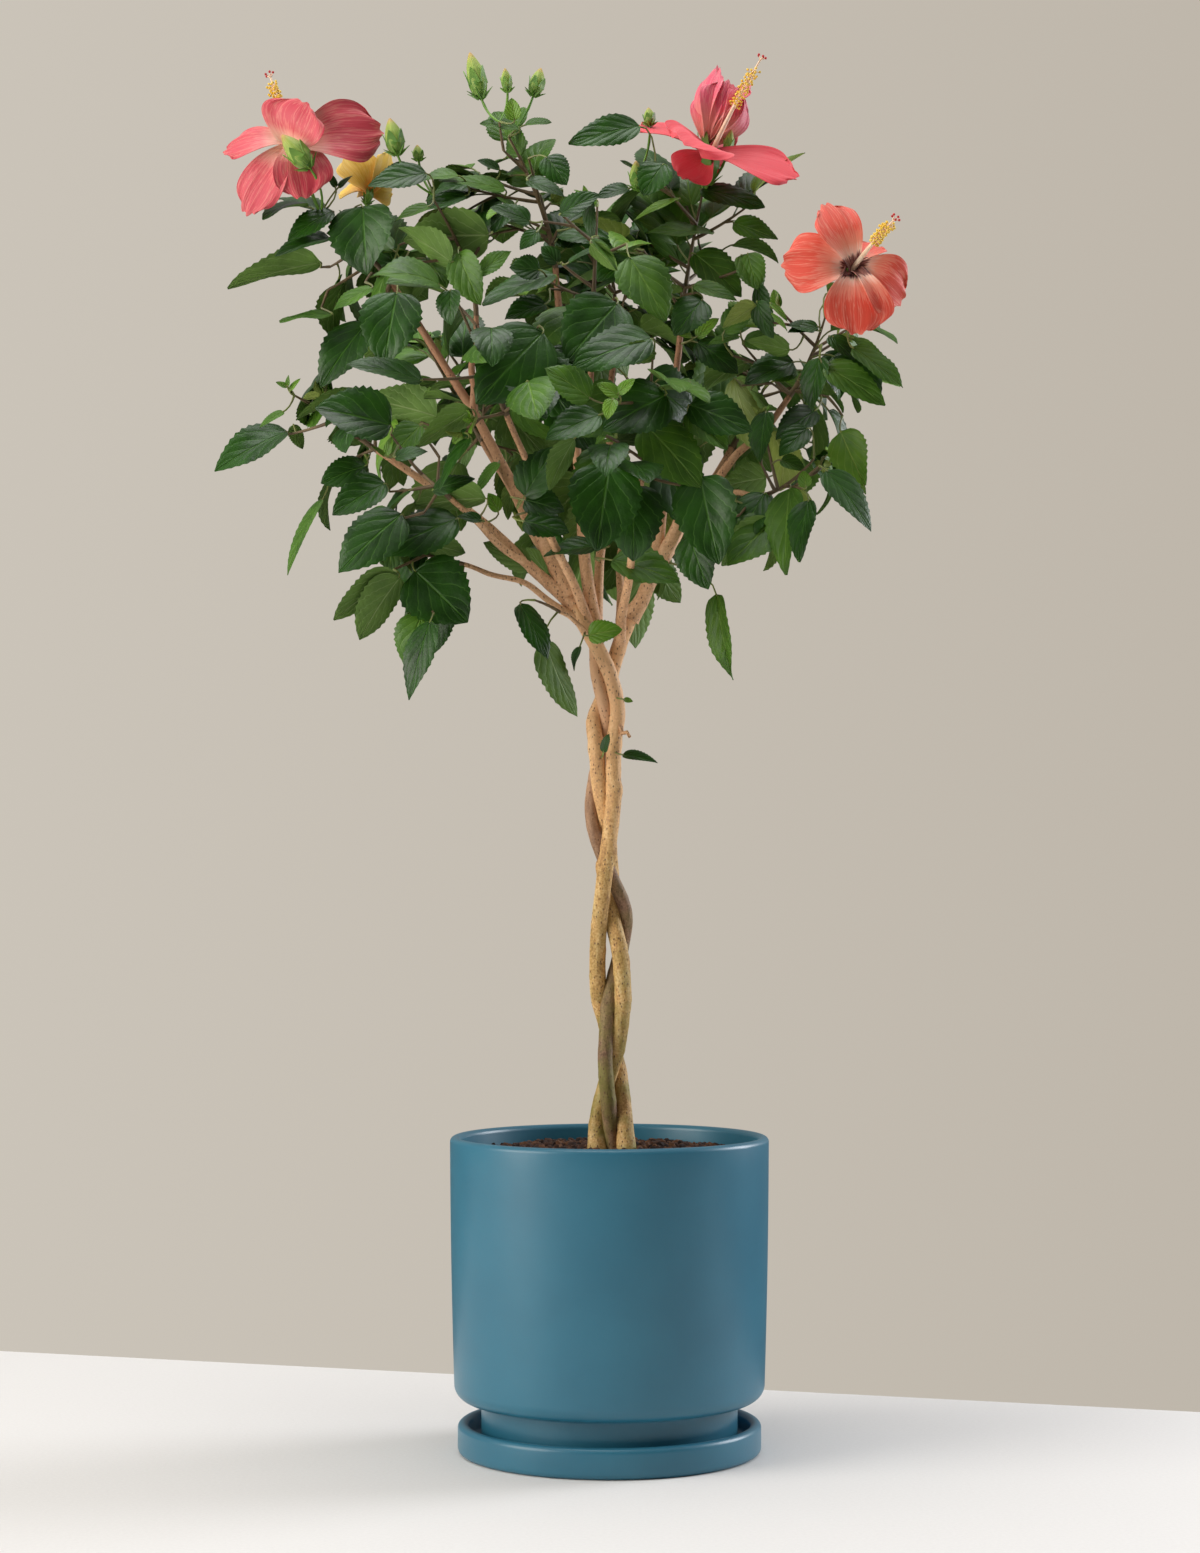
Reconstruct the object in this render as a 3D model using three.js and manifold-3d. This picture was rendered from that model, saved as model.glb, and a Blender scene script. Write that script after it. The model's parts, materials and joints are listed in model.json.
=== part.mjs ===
// A hibiscus grown as a small tree: three braided stems under a round open crown, in a glazed
// cylinder pot that stands in its saucer.
// Millimetres, +Z up, the front faces -Y. The origin is the middle of the saucer's flat underside.
import * as THREE from "three";
import Module from "manifold-3d";

const wasm = await Module();
wasm.setup();

const clearGap = 0.3; // between neighbouring pieces that touch
const up = new THREE.Vector3(0, 0, 1);

// Saucer: a shallow round dish with a rounded lip.
const saucer = { radius: 128.5, height: 25.7, wall: 9.5, floor: 8, chamfer: 5 };

// Pot: a cylinder with a slight draft, on a foot that is set in and stands in the saucer.
const pot = {
  rimRadius: 135,
  rimHeight: 267,
  wall: 9,
  bodyFootRadius: 131.5,
  bodyFootHeight: 45,
  cornerRadius: 13,
  footRadius: 108.5,
  floor: 12,
};
const turnSides = 28;

// Soil: fills the pot to a little below the rim.
const soil = { height: 255, edgeDrop: 4, flatRadius: 70 };

// The braid. Each stem says where it stands across and in depth (minus is to the front) at every
// weaveStep of height above the soil; partStems then eases them apart until they only touch.
const weaveStep = 30;
const weaveSample = 5;
const footFlare = 1.4;
const flareHeight = 22;
const stemSides = 7;
const stems = {
  stem_left: {
    radius: 6.6,
    top: 731,
    across: [14.5, 12.4, 8.8, 2.1, -6.8, -10.4, -9.9, -7, -3.1, 0.8, 3.1, 2.8, 4.4, 1.8, -7.9, -24.6, -41],
    depth: [-6, 1, 9, 9, 5, -2, -3, -7, -12, -8, -4, -3, -4, 2, -9, -6, -5],
  },
  stem_middle: {
    radius: 5.9,
    top: 694,
    across: [2.8, -0.6, -2.6, -2.8, -2.6, 4, 13.6, 9.4, -2.4, -11.2, -15, -9.6, -1.4, -5.2, -10.6, -12, -13],
    depth: [4, -3, -8, -6, -4, 8, 7, 4, 4, 4, 9, 12, 8, -8, 3, 6, 7],
  },
  stem_right: {
    radius: 6.9,
    top: 706,
    across: [-10.3, -9.6, -1.3, 8, 10.4, 10.8, 8, 4, 1, -3.5, -8, -10.7, -9.8, -1, 5, 16.5, 30],
    depth: [1, 5, 2, -3, -3, -6, -5, 8, 13, 8, -2, -4, -1, 14, 6, 1, -1],
  },
};

// Boughs: each leaves its parent at a share of the parent's length and runs to its tip. bow lifts
// its middle, radii are at its root and tip.
const boughs = {
  bough_left_low: { from: "stem_left", at: 0.97, tip: [-196, -14, 846], bow: 8, radii: [5.6, 2.6] },
  bough_left_high: { from: "stem_left", at: 0.985, tip: [-184, -4, 988], bow: 12, radii: [6.0, 2.6] },
  bough_left_top: { from: "bough_left_high", at: 0.55, tip: [-112, -22, 958], bow: -4, radii: [3.4, 2.2] },
  bough_left_under: { from: "stem_left", at: 0.94, tip: [-122, -30, 748], bow: 6, radii: [3.2, 1.9] },
  bough_left_inner: { from: "bough_left_low", at: 0.12, tip: [-132, -54, 800], bow: -2, radii: [3.6, 2.2] },
  bough_fork: { from: "stem_left", at: 0.9, tip: [-42, -34, 708], bow: 4, radii: [2.2, 1.5] },
  bough_trunk: { from: "stem_left", at: 0.76, tip: [17, -20, 604], bow: 0, radii: [1.8, 1.3] },
  bough_front_left: { from: "stem_middle", at: 0.98, tip: [-84, -96, 862], bow: 0, radii: [4.6, 2.3] },
  bough_top: { from: "stem_middle", at: 1, tip: [-46, 8, 1004], bow: -10, radii: [6.0, 2.6] },
  bough_front_high: { from: "bough_top", at: 0.25, tip: [-14, -72, 940], bow: 0, radii: [3.8, 2.2] },
  bough_back_left: { from: "stem_middle", at: 0.99, tip: [-112, 112, 872], bow: 0, radii: [4.8, 2.4] },
  bough_back_top: { from: "stem_middle", at: 0.99, tip: [6, 100, 966], bow: 0, radii: [4.8, 2.4] },
  bough_right: { from: "stem_right", at: 1, tip: [64, -4, 800], bow: -3, radii: [6.6, 5.0] },
  bough_front: { from: "stem_right", at: 0.95, tip: [26, -104, 810], bow: 0, radii: [4.6, 2.3] },
  bough_top_right: { from: "bough_right", at: 0.5, tip: [62, 12, 964], bow: -12, radii: [5.2, 2.5] },
  bough_right_high: { from: "bough_right", at: 1, tip: [152, -10, 892], bow: -6, radii: [4.4, 2.4] },
  bough_right_low: { from: "bough_right", at: 0.92, tip: [120, -26, 806], bow: 8, radii: [3.9, 2.1] },
  bough_back_right: { from: "bough_right", at: 0.3, tip: [108, 108, 866], bow: 0, radii: [4.6, 2.4] },
  bough_back: { from: "stem_right", at: 0.96, tip: [10, 122, 806], bow: 4, radii: [4.2, 2.2] },
};
const limbSides = 5;
const limbStep = 36;

// Foliage: each mass fills its own round space (middle and half sizes) from its bough's tip on.
// Its stem runs towards aim; twigs and leaves follow by a seeded rule.
const masses = {
  foliage_top: { bough: "bough_top", middle: [-80, -2, 1070], half: [96, 96, 92], aim: [-92, -8, 1124], twigs: 12, leafSize: 0.72, seed: 67 },
  foliage_left_high: { bough: "bough_left_high", middle: [-218, 6, 992], half: [98, 102, 94], aim: [-244, -10, 1046], twigs: 9, seed: 23 },
  foliage_left_top: { bough: "bough_left_top", middle: [-146, -44, 1014], half: [92, 88, 88], aim: [-146, -52, 1048], twigs: 9, seed: 62 },
  foliage_top_right: { bough: "bough_top_right", middle: [66, -6, 1030], half: [118, 104, 98], aim: [82, -8, 1080], twigs: 10, seed: 101 },
  foliage_right: { bough: "bough_right_high", middle: [160, -22, 926], half: [98, 96, 100], aim: [182, -56, 962], twigs: 9, seed: 113 },
  foliage_left_low: { bough: "bough_left_low", middle: [-236, -28, 862], half: [90, 88, 86], aim: [-262, -30, 898], twigs: 7, seed: 11 },
  foliage_front_high: { bough: "bough_front_high", middle: [-16, -112, 992], half: [104, 88, 96], aim: [-10, -122, 1030], twigs: 8, seed: 31 },
  foliage_front_left: { bough: "bough_front_left", middle: [-108, -132, 902], half: [108, 90, 104], aim: [-124, -142, 950], twigs: 9, seed: 53 },
  foliage_front: { bough: "bough_front", middle: [34, -138, 836], half: [112, 90, 112], aim: [34, -152, 900], twigs: 9, seed: 97 },
  foliage_left_inner: { bough: "bough_left_inner", middle: [-140, -80, 806], half: [98, 88, 88], aim: [-164, -88, 824], twigs: 7, seed: 41 },
  foliage_left_under: { bough: "bough_left_under", middle: [-160, -34, 722], half: [88, 76, 92], aim: [-172, -44, 756], twigs: 5, seed: 37 },
  foliage_right_low: { bough: "bough_right_low", middle: [138, -40, 810], half: [98, 90, 94], aim: [170, -46, 834], twigs: 8, seed: 127 },
  foliage_back_left: { bough: "bough_back_left", middle: [-128, 146, 910], half: [122, 108, 118], aim: [-152, 166, 950], twigs: 9, seed: 79 },
  foliage_back_top: { bough: "bough_back_top", middle: [0, 124, 1010], half: [112, 104, 106], aim: [-4, 146, 1052], twigs: 9, seed: 83 },
  foliage_back_right: { bough: "bough_back_right", middle: [126, 138, 906], half: [112, 106, 118], aim: [150, 158, 946], twigs: 9, seed: 131 },
  foliage_back: { bough: "bough_back", middle: [0, 150, 828], half: [108, 92, 98], aim: [-2, 176, 852], twigs: 8, seed: 149 },
  foliage_fork: { bough: "bough_fork", middle: [-54, -42, 680], half: [58, 52, 72], aim: [-62, -50, 716], twigs: 3, leafSize: 0.7, seed: 7 },
  foliage_trunk: { bough: "bough_trunk", middle: [28, -28, 600], half: [48, 44, 52], aim: [24, -28, 618], twigs: 0, leafSize: 0.55, seed: 19 },
};

// Blossoms: the middle of the open flower, the way it faces, its half width and its column's length.
const blooms = [
  { mass: "foliage_left_high", middle: [-264, -20, 1104], face: [-0.4, 0.25, 0.84], radius: 60, column: 70 },
  { mass: "foliage_left_high", middle: [-206, 22, 1068], face: [0.1, 0.35, 0.9], radius: 36, column: 30 },
  { mass: "foliage_top_right", middle: [84, -14, 1092], face: [0.1, -0.05, 0.98], radius: 62, column: 74 },
  { mass: "foliage_right", middle: [198, -90, 982], face: [0.3, -0.9, 0.3], radius: 56, column: 52 },
];
const bloomShape = { petals: 5, cup: 0.26, notch: 0.62, petalHalfTurn: 21, thickness: 5, column: 2.2, anthers: 4.4 };

// Buds: where each one starts and ends, and its half width.
const buds = [
  { mass: "foliage_top", from: [-109, -8, 1147], to: [-116, -8, 1183], radius: 7.5 },
  { mass: "foliage_top", from: [-86, -16, 1145], to: [-88, -18, 1165], radius: 4.6 },
  { mass: "foliage_top", from: [-64, -4, 1147], to: [-58, -4, 1171], radius: 6.6 },
  { mass: "foliage_left_high", from: [-178, -30, 1093], to: [-184, -32, 1121], radius: 8 },
  { mass: "foliage_left_high", from: [-161, -14, 1087], to: [-162, -16, 1103], radius: 5 },
  { mass: "foliage_left_high", from: [-251, -46, 1076], to: [-270, -52, 1100], radius: 8 },
  { mass: "foliage_top_right", from: [82, -4, 1108], to: [96, -6, 1176], radius: 18 },
  { mass: "foliage_top_right", from: [23, -40, 1059], to: [22, -46, 1082], radius: 6.4 },
];

// Leaves: one blade on a thin stalk.
const leaf = {
  length: [56, 82],
  widthShare: 0.72,
  widest: 0.4, // share of its length
  stalk: [12, 26],
  thickness: 2,
  curl: 0.1, // its tip hangs below its axis
};
const leafSpacing = 13; // along a twig
const leafTries = 6; // ways round its twig that are tried for each leaf
const goldenTurn = THREE.MathUtils.degToRad(137.5);
const crownHeart = new THREE.Vector3(-20, 0, 850); // leaves face away from here
const leafDroop = [0.3, 1.4];
const twigRadii = [1.7, 1.0];
const light = new THREE.Vector3(-0.1, -0.5, 0.85); // blades turn towards it
const twigReach = [0.42, 0.6]; // share of the space that side twigs fill
const stemSteps = 4;
const massEdge = 1.15;
const bloomStalk = 1.7;

const colours = {
  glaze: "#3f7385",
  soil: "#4a2f20",
  barkTan: "#b98a5c",
  barkBrown: "#77573f",
  foliage: "#2f5d27",
};

const vec = (x, y, z) => new THREE.Vector3(x, y, z);
const lerp = THREE.MathUtils.lerp;

// A repeatable run of numbers from 0 to 1.
function seeded(seed) {
  let state = seed;
  return () => {
    state = (Math.imul(state, 1664525) + 1013904223) >>> 0;
    return (state >>> 8) / 16777216;
  };
}

function solidOf(vertices, triangles) {
  return new wasm.Manifold(
    new wasm.Mesh({
      numProp: 3,
      vertProperties: new Float32Array(vertices.flatMap((v) => [v.x, v.y, v.z])),
      triVerts: new Uint32Array(triangles.flat()),
    }),
  );
}

function geometryOf(solid) {
  const { vertProperties, triVerts } = solid.getMesh();
  const geometry = new THREE.BufferGeometry();
  geometry.setAttribute("position", new THREE.BufferAttribute(vertProperties, 3));
  geometry.setIndex(new THREE.BufferAttribute(triVerts, 1));
  geometry.computeVertexNormals();
  return geometry;
}

// The largest closed body of a solid, with any hollow that joining has sealed filled.
function largest(solid) {
  return solid.decompose().sort((a, b) => b.volume() - a.volume())[0];
}

const meshOf = (name, geometry, colour, roughness) => {
  const mesh = new THREE.Mesh(geometry, new THREE.MeshStandardMaterial({ color: colour, roughness, metalness: 0 }));
  mesh.name = name;
  return mesh;
};

// Round points of a quarter turn in a profile, from one angle to another.
function arc(middleRadius, middleHeight, radius, fromAngle, toAngle, steps) {
  return Array.from({ length: steps + 1 }, (_, i) => {
    const angle = THREE.MathUtils.degToRad(lerp(fromAngle, toAngle, i / steps));
    return new THREE.Vector2(middleRadius + radius * Math.cos(angle), middleHeight + radius * Math.sin(angle));
  });
}

// Turns a profile of radius and height round the upright axis.
function turned(profile) {
  const geometry = new THREE.LatheGeometry(profile, turnSides);
  geometry.rotateX(Math.PI / 2);
  return geometry;
}

function saucerGeometry() {
  const { radius, height, wall, floor, chamfer } = saucer;
  const lip = wall / 2;
  return turned([
    new THREE.Vector2(0, 0),
    new THREE.Vector2(radius - chamfer, 0),
    new THREE.Vector2(radius, chamfer),
    ...arc(radius - lip, height - lip, lip, 0, 180, 3),
    new THREE.Vector2(radius - wall, floor + 4),
    new THREE.Vector2(radius - wall - 4, floor),
    new THREE.Vector2(0, floor),
  ]);
}

// The foot stands on the saucer's floor, clear of it.
const footHeight = saucer.floor + clearGap;
const potFloorHeight = footHeight + pot.floor;
const shoulderHeight = pot.bodyFootHeight + pot.floor;

function potGeometry() {
  const lip = pot.wall / 2;
  const corner = pot.cornerRadius;
  return turned([
    new THREE.Vector2(0, footHeight),
    new THREE.Vector2(pot.footRadius - 2, footHeight),
    new THREE.Vector2(pot.footRadius, footHeight + 2),
    new THREE.Vector2(pot.footRadius, pot.bodyFootHeight),
    ...arc(pot.bodyFootRadius - corner, pot.bodyFootHeight + corner, corner, -90, 0, 2),
    ...arc(pot.rimRadius - lip, pot.rimHeight - lip, lip, 0, 180, 3),
    new THREE.Vector2(pot.bodyFootRadius - pot.wall, shoulderHeight),
    new THREE.Vector2(pot.footRadius - pot.wall, shoulderHeight),
    new THREE.Vector2(pot.footRadius - pot.wall, potFloorHeight),
    new THREE.Vector2(0, potFloorHeight),
  ]);
}

function soilGeometry() {
  const rise = (soil.height - soil.edgeDrop - shoulderHeight) / (pot.rimHeight - shoulderHeight);
  const topRadius = lerp(pot.bodyFootRadius, pot.rimRadius, rise) - pot.wall - clearGap - 0.2;
  return turned([
    new THREE.Vector2(0, potFloorHeight + clearGap),
    new THREE.Vector2(pot.footRadius - pot.wall - clearGap, potFloorHeight + clearGap),
    new THREE.Vector2(pot.footRadius - pot.wall - clearGap, shoulderHeight + clearGap),
    new THREE.Vector2(pot.bodyFootRadius - pot.wall - clearGap, shoulderHeight + clearGap),
    new THREE.Vector2(topRadius, soil.height - soil.edgeDrop),
    new THREE.Vector2(soil.flatRadius, soil.height),
    new THREE.Vector2(0, soil.height),
  ]);
}

function squareTo(way) {
  const side = vec(0, 1, 0).cross(way);
  if (side.length() < 0.1) side.set(1, 0, 0).cross(way);
  return side.normalize();
}

// A closed tapering tube round a line of points, with flat ends; firstWay faces its first ring.
function tube(points, radii, sides, firstWay) {
  const last = points.length - 1;
  const along = points.map((_, i) =>
    points[Math.min(i + 1, last)].clone().sub(points[Math.max(i - 1, 0)]).normalize(),
  );
  if (firstWay) along[0] = firstWay.clone();
  const side = squareTo(along[0]);
  const vertices = [];
  const triangles = [];
  points.forEach((point, i) => {
    side.addScaledVector(along[i], -side.dot(along[i])).normalize();
    const other = along[i].clone().cross(side);
    for (let k = 0; k < sides; k++) {
      const turn = (2 * Math.PI * k) / sides;
      vertices.push(
        point.clone().addScaledVector(side, radii[i] * Math.cos(turn)).addScaledVector(other, radii[i] * Math.sin(turn)),
      );
    }
  });
  for (let i = 0; i < last; i++) {
    for (let k = 0; k < sides; k++) {
      const a = i * sides + k;
      const b = i * sides + ((k + 1) % sides);
      triangles.push([a, b, b + sides], [a, b + sides, a + sides]);
    }
  }
  for (let k = 1; k < sides - 1; k++) {
    triangles.push([0, k + 1, k], [last * sides, last * sides + k, last * sides + k + 1]);
  }
  return solidOf(vertices, triangles);
}

// The stems' middle lines, sampled evenly in height and eased apart where they would run into each other.
function partStems() {
  const names = Object.keys(stems);
  const count = Math.round(((stems.stem_left.across.length - 1) * weaveStep) / weaveSample) + 1;
  const lines = names.map((name) => {
    const { across, depth } = stems[name];
    const curve = new THREE.CatmullRomCurve3(across.map((x, i) => vec(x, depth[i], i * weaveStep)));
    return Array.from({ length: count }, (_, i) => {
      const share = i / (count - 1);
      const point = curve.getPoint(share);
      point.z = soil.height + clearGap + share * (across.length - 1) * weaveStep;
      return point;
    });
  });
  const nearby = 4;
  const passes = 260;
  const smoothPasses = 200;
  const acrossShare = 0.35;
  for (let pass = 0; pass < passes; pass++) {
    for (const [i, j] of [[0, 1], [0, 2], [1, 2]]) {
      const needed = stems[names[i]].radius + stems[names[j]].radius + clearGap + 0.35;
      for (let k = 0; k < count; k++) {
        for (let m = Math.max(0, k - nearby); m <= Math.min(count - 1, k + nearby); m++) {
          const a = lines[i][k];
          const b = lines[j][m];
          const distance = a.distanceTo(b);
          if (distance >= needed) continue;
          const level = Math.max(Math.hypot(a.x - b.x, a.y - b.y), 0.01);
          const push = (needed - distance) / 2;
          const dx = (acrossShare * push * (a.x - b.x)) / level;
          const dy = (push * (a.y - b.y || 0.01)) / level;
          a.x += dx;
          a.y += dy;
          b.x -= dx;
          b.y -= dy;
        }
      }
    }
    if (pass > smoothPasses) continue;
    for (const line of lines) {
      for (let k = 1; k < count - 1; k++) {
        line[k].y = lerp(line[k].y, (line[k - 1].y + line[k + 1].y) / 2, 0.3);
        line[k].x = lerp(line[k].x, (line[k - 1].x + line[k + 1].x) / 2, 0.15);
      }
    }
  }
  return Object.fromEntries(names.map((name, i) => [name, lines[i].filter((p) => p.z <= stems[name].top)]));
}

const limbs = {}; // name: { line, radii, solid, grown }, where grown is a copy one gap larger all round

function addLimb(name, line, radii, sides, firstWay) {
  let solid = tube(line, radii, sides, firstWay);
  for (const other of Object.values(limbs)) {
    if (boxesMeet(solid.boundingBox(), other.grown.boundingBox())) solid = solid.subtract(other.grown);
  }
  const tip = line[line.length - 1];
  const pieces = solid.decompose();
  const nearTip = (piece) => {
    const { min, max } = piece.boundingBox();
    return new THREE.Box3(vec(...min), vec(...max)).distanceToPoint(tip);
  };
  solid = pieces.sort((a, b) => nearTip(a) - nearTip(b) || b.volume() - a.volume())[0];
  const ends = line.map((p) => p.clone());
  const ahead = tip.clone().sub(line[line.length - 2]).normalize();
  ends[ends.length - 1].addScaledVector(ahead, clearGap);
  const grown = tube(ends, radii.map((r) => r + clearGap * 1.2), sides, firstWay);
  limbs[name] = { line, radii, solid, grown, ahead };
}

function boxesMeet(a, b) {
  return [0, 1, 2].every((i) => a.min[i] <= b.max[i] && b.min[i] <= a.max[i]);
}

function addStems() {
  const lines = partStems();
  for (const [name, line] of Object.entries(lines)) {
    const rings = line.filter((_, i) => i % 4 === 0 || i === line.length - 1);
    const radii = rings.map(({ z }) => {
      const height = z - soil.height - clearGap;
      return stems[name].radius * lerp(1, 0.92, height / 450) + footFlare * Math.exp(-height / flareHeight);
    });
    addLimb(name, rings, radii, stemSides, up);
  }
}

// The point at a share of a line's length.
function pointAlong(line, share) {
  const place = share * (line.length - 1);
  const i = Math.min(Math.floor(place), line.length - 2);
  return line[i].clone().lerp(line[i + 1], place - i);
}

function addBoughs() {
  for (const [name, { from, at, tip, bow, radii }] of Object.entries(boughs)) {
    const start = pointAlong(limbs[from].line, at);
    const end = vec(...tip);
    const middle = start.clone().lerp(end, 0.5).add(vec(0, 0, bow * 2));
    const curve = new THREE.QuadraticBezierCurve3(start, middle, end);
    const steps = Math.max(3, Math.round(curve.getLength() / limbStep));
    const line = curve.getPoints(steps);
    addLimb(name, line, line.map((_, i) => lerp(radii[0], radii[1], i / steps)), limbSides);
  }
}

// A leaf as one closed solid of six faces: a point sunk in its twig, the blade's two sides, its
// raised middle and its hanging tip. spare makes it larger all round.
function leafSolid({ root, base, axis, normal, length }, spare = 0) {
  const side = axis.clone().cross(normal).normalize();
  const middle = base.clone().addScaledVector(axis, leaf.widest * length);
  const halfWidth = (length * leaf.widthShare) / 2 + spare;
  const vertices = [
    root,
    middle.clone().addScaledVector(side, halfWidth).addScaledVector(normal, -spare),
    middle.clone().addScaledVector(side, -halfWidth).addScaledVector(normal, -spare),
    middle.clone().addScaledVector(normal, leaf.thickness + spare),
    base.clone().addScaledVector(axis, length + spare).addScaledVector(normal, -leaf.curl * length),
  ];
  const [at, near, far, top, tip] = [0, 1, 2, 3, 4];
  return solidOf(vertices, [
    [at, near, top],
    [at, top, far],
    [at, far, near],
    [tip, top, near],
    [tip, far, top],
    [tip, near, far],
  ]);
}

// A straight many-sided piece along one line, as wide at each share of it as the radii say.
function spindle(from, to, shares, radii, sides) {
  return tube(shares.map((share) => from.clone().lerp(to, share)), radii, sides);
}

// An open flower: a shallow cup with five lobes, its column with the anthers, and its calyx.
function bloomSolid({ middle, face, radius, column }) {
  const at = vec(...middle);
  const way = vec(...face).normalize();
  const { petals, cup, notch, petalHalfTurn, thickness } = bloomShape;
  const rim = Array.from({ length: petals }, (_, i) =>
    [[-180 / petals, notch], [-petalHalfTurn, 1], [petalHalfTurn, 1]].map(([degrees, out]) => {
      const turn = THREE.MathUtils.degToRad((360 * i) / petals + degrees);
      return at.clone().addScaledVector(sideOf(way, turn), out * radius).addScaledVector(way, cup * radius);
    }),
  ).flat();
  const count = rim.length;
  const triangles = rim.flatMap((_, i) => [
    [i, (i + 1) % count, count],
    [(i + 1) % count, i, count + 1],
  ]);
  const blade = solidOf([...rim, at, at.clone().addScaledVector(way, -thickness)], triangles);
  const tip = at.clone().addScaledVector(way, column);
  const calyx = spindle(at.clone().addScaledVector(way, -22), at.clone().addScaledVector(way, -1), [0, 1], [3, 7], 4);
  const { column: thin, anthers: thick } = bloomShape;
  const rod = spindle(at.clone().addScaledVector(way, -8), tip, [0, 0.5, 0.8, 1], [thin, thin, thick, thin], 3);
  return { solid: wasm.Manifold.union([blade, calyx, rod]), foot: at.clone().addScaledVector(way, -20) };
}

function budSolid({ from, to, radius }) {
  const foot = vec(...from);
  return { solid: spindle(foot, vec(...to), [0, 0.3, 0.7, 1], [2.2, radius, radius * 0.7, 0.8], 5), foot: foot.lerp(vec(...to), 0.06) };
}

// Whether a solid runs into any of the others.
function meets(solid, others) {
  const box = solid.boundingBox();
  return others.some((other) => boxesMeet(box, other.boundingBox()) && solid.intersect(other).volume() > 0);
}

// How far out a point lies in a mass's space: 1 is on its edge.
function depthIn({ middle, half }, point) {
  return Math.hypot(...point.toArray().map((value, i) => (value - middle[i]) / half[i]));
}

// A direction square to ahead, at an angle round it.
const sideOf = (ahead, angle) => squareTo(ahead).applyAxisAngle(ahead, angle);

// Twigs of a mass: its stem from the bough's tip towards aim, and side twigs whose tips lie evenly
// round the middle of its space.
function twigsOf({ bough, middle, half, aim, twigs }, random) {
  const limb = limbs[bough];
  const start = limb.line[limb.line.length - 1].clone().addScaledVector(limb.ahead, clearGap);
  const end = vec(...aim);
  const bend = start.clone().addScaledVector(limb.ahead, start.distanceTo(end) * 0.4);
  const stemLine = new THREE.QuadraticBezierCurve3(start, bend, end).getPoints(stemSteps);
  const found = [{ line: stemLine, radii: [limb.radii[limb.radii.length - 1], twigRadii[1]], way: limb.ahead }];
  const turnFrom = random() * Math.PI * 2;
  for (let i = 0; i < twigs; i++) {
    const rise = 1 - (2 * (i + 0.5)) / twigs;
    const turn = turnFrom + i * goldenTurn;
    const level = Math.sqrt(1 - rise * rise);
    const out = [level * Math.cos(turn), level * Math.sin(turn), rise];
    const reach = lerp(twigReach[0], twigReach[1], random());
    const tip = vec(...middle.map((value, k) => value + half[k] * reach * out[k]));
    const root = rootOn(stemLine, tip);
    found.push({ line: [root, tip], radii: twigRadii });
  }
  return found;
}

// Where a twig to this tip leaves a stem: a little before the stem's nearest point.
function rootOn(line, tip) {
  const steps = 20;
  const shares = Array.from({ length: steps }, (_, i) => i / steps);
  const nearest = shares.sort((a, b) => pointAlong(line, a).distanceTo(tip) - pointAlong(line, b).distanceTo(tip))[0];
  return pointAlong(line, Math.max(0.04, nearest - 0.25));
}

// Leaves along a twig: they turn round it by the golden angle, reach out and hang by their own weight.
function leavesOn(line, random, first) {
  const total = line.slice(1).reduce((sum, point, i) => sum + point.distanceTo(line[i]), 0);
  const count = Math.max(2, Math.round((total * (1 - first)) / leafSpacing) + 1);
  return Array.from({ length: count }, (_, i) => {
    const share = lerp(first, 1, i / (count - 1));
    return {
      share,
      line,
      turn: i * goldenTurn + random() * 1.2,
      droop: random(),
      reach: random(),
      tilt: [random() - 0.5, random() - 0.5, random() - 0.5],
      size: random(),
    };
  });
}

// One leaf in its place, turned on round its twig by tries.
function placed({ share, line, turn, droop, reach, tilt, size }, tries, scale) {
  const root = pointAlong(line, Math.min(share, 0.98));
  const ahead = line[line.length - 1].clone().sub(line[0]).normalize();
  const around = sideOf(ahead, turn + tries * 1.1);
  const away = root.clone().sub(crownHeart).normalize();
  const sag = lerp(leafDroop[0], leafDroop[1], droop) * (1 - 0.6 * Math.max(0, away.z));
  const stalkWay = around.clone().multiplyScalar(1.1 - 0.6 * share);
  stalkWay.addScaledVector(ahead, 0.9 * share).addScaledVector(away, 0.3).normalize();
  const base = root.clone().addScaledVector(stalkWay, scale * lerp(leaf.stalk[0], leaf.stalk[1], reach));
  const axis = stalkWay.clone().multiplyScalar(0.8).addScaledVector(away, 0.4).addScaledVector(up, -sag).normalize();
  const normal = vec(...tilt).multiplyScalar(1.3).addScaledVector(light, 0.9).addScaledVector(away, 0.7);
  normal.addScaledVector(axis, -normal.dot(axis)).normalize();
  const length = scale * lerp(leaf.length[0], leaf.length[1], size) * lerp(1.05, 0.85, share);
  return { root, base, axis, normal, length };
}

// A flower or bud on its own stalk, which leaves the nearest wood of its mass.
function stalked({ solid, foot }, twigs) {
  const roots = twigs.flatMap(({ line }) => line.slice(1));
  const root = roots.sort((p, q) => p.distanceTo(foot) - q.distanceTo(foot))[0];
  return solid.add(spindle(root, foot, [0, 1], [bloomStalk, bloomStalk], 3));
}

const grownLimbs = () => Object.values(limbs).map((limb) => limb.grown);

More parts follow.
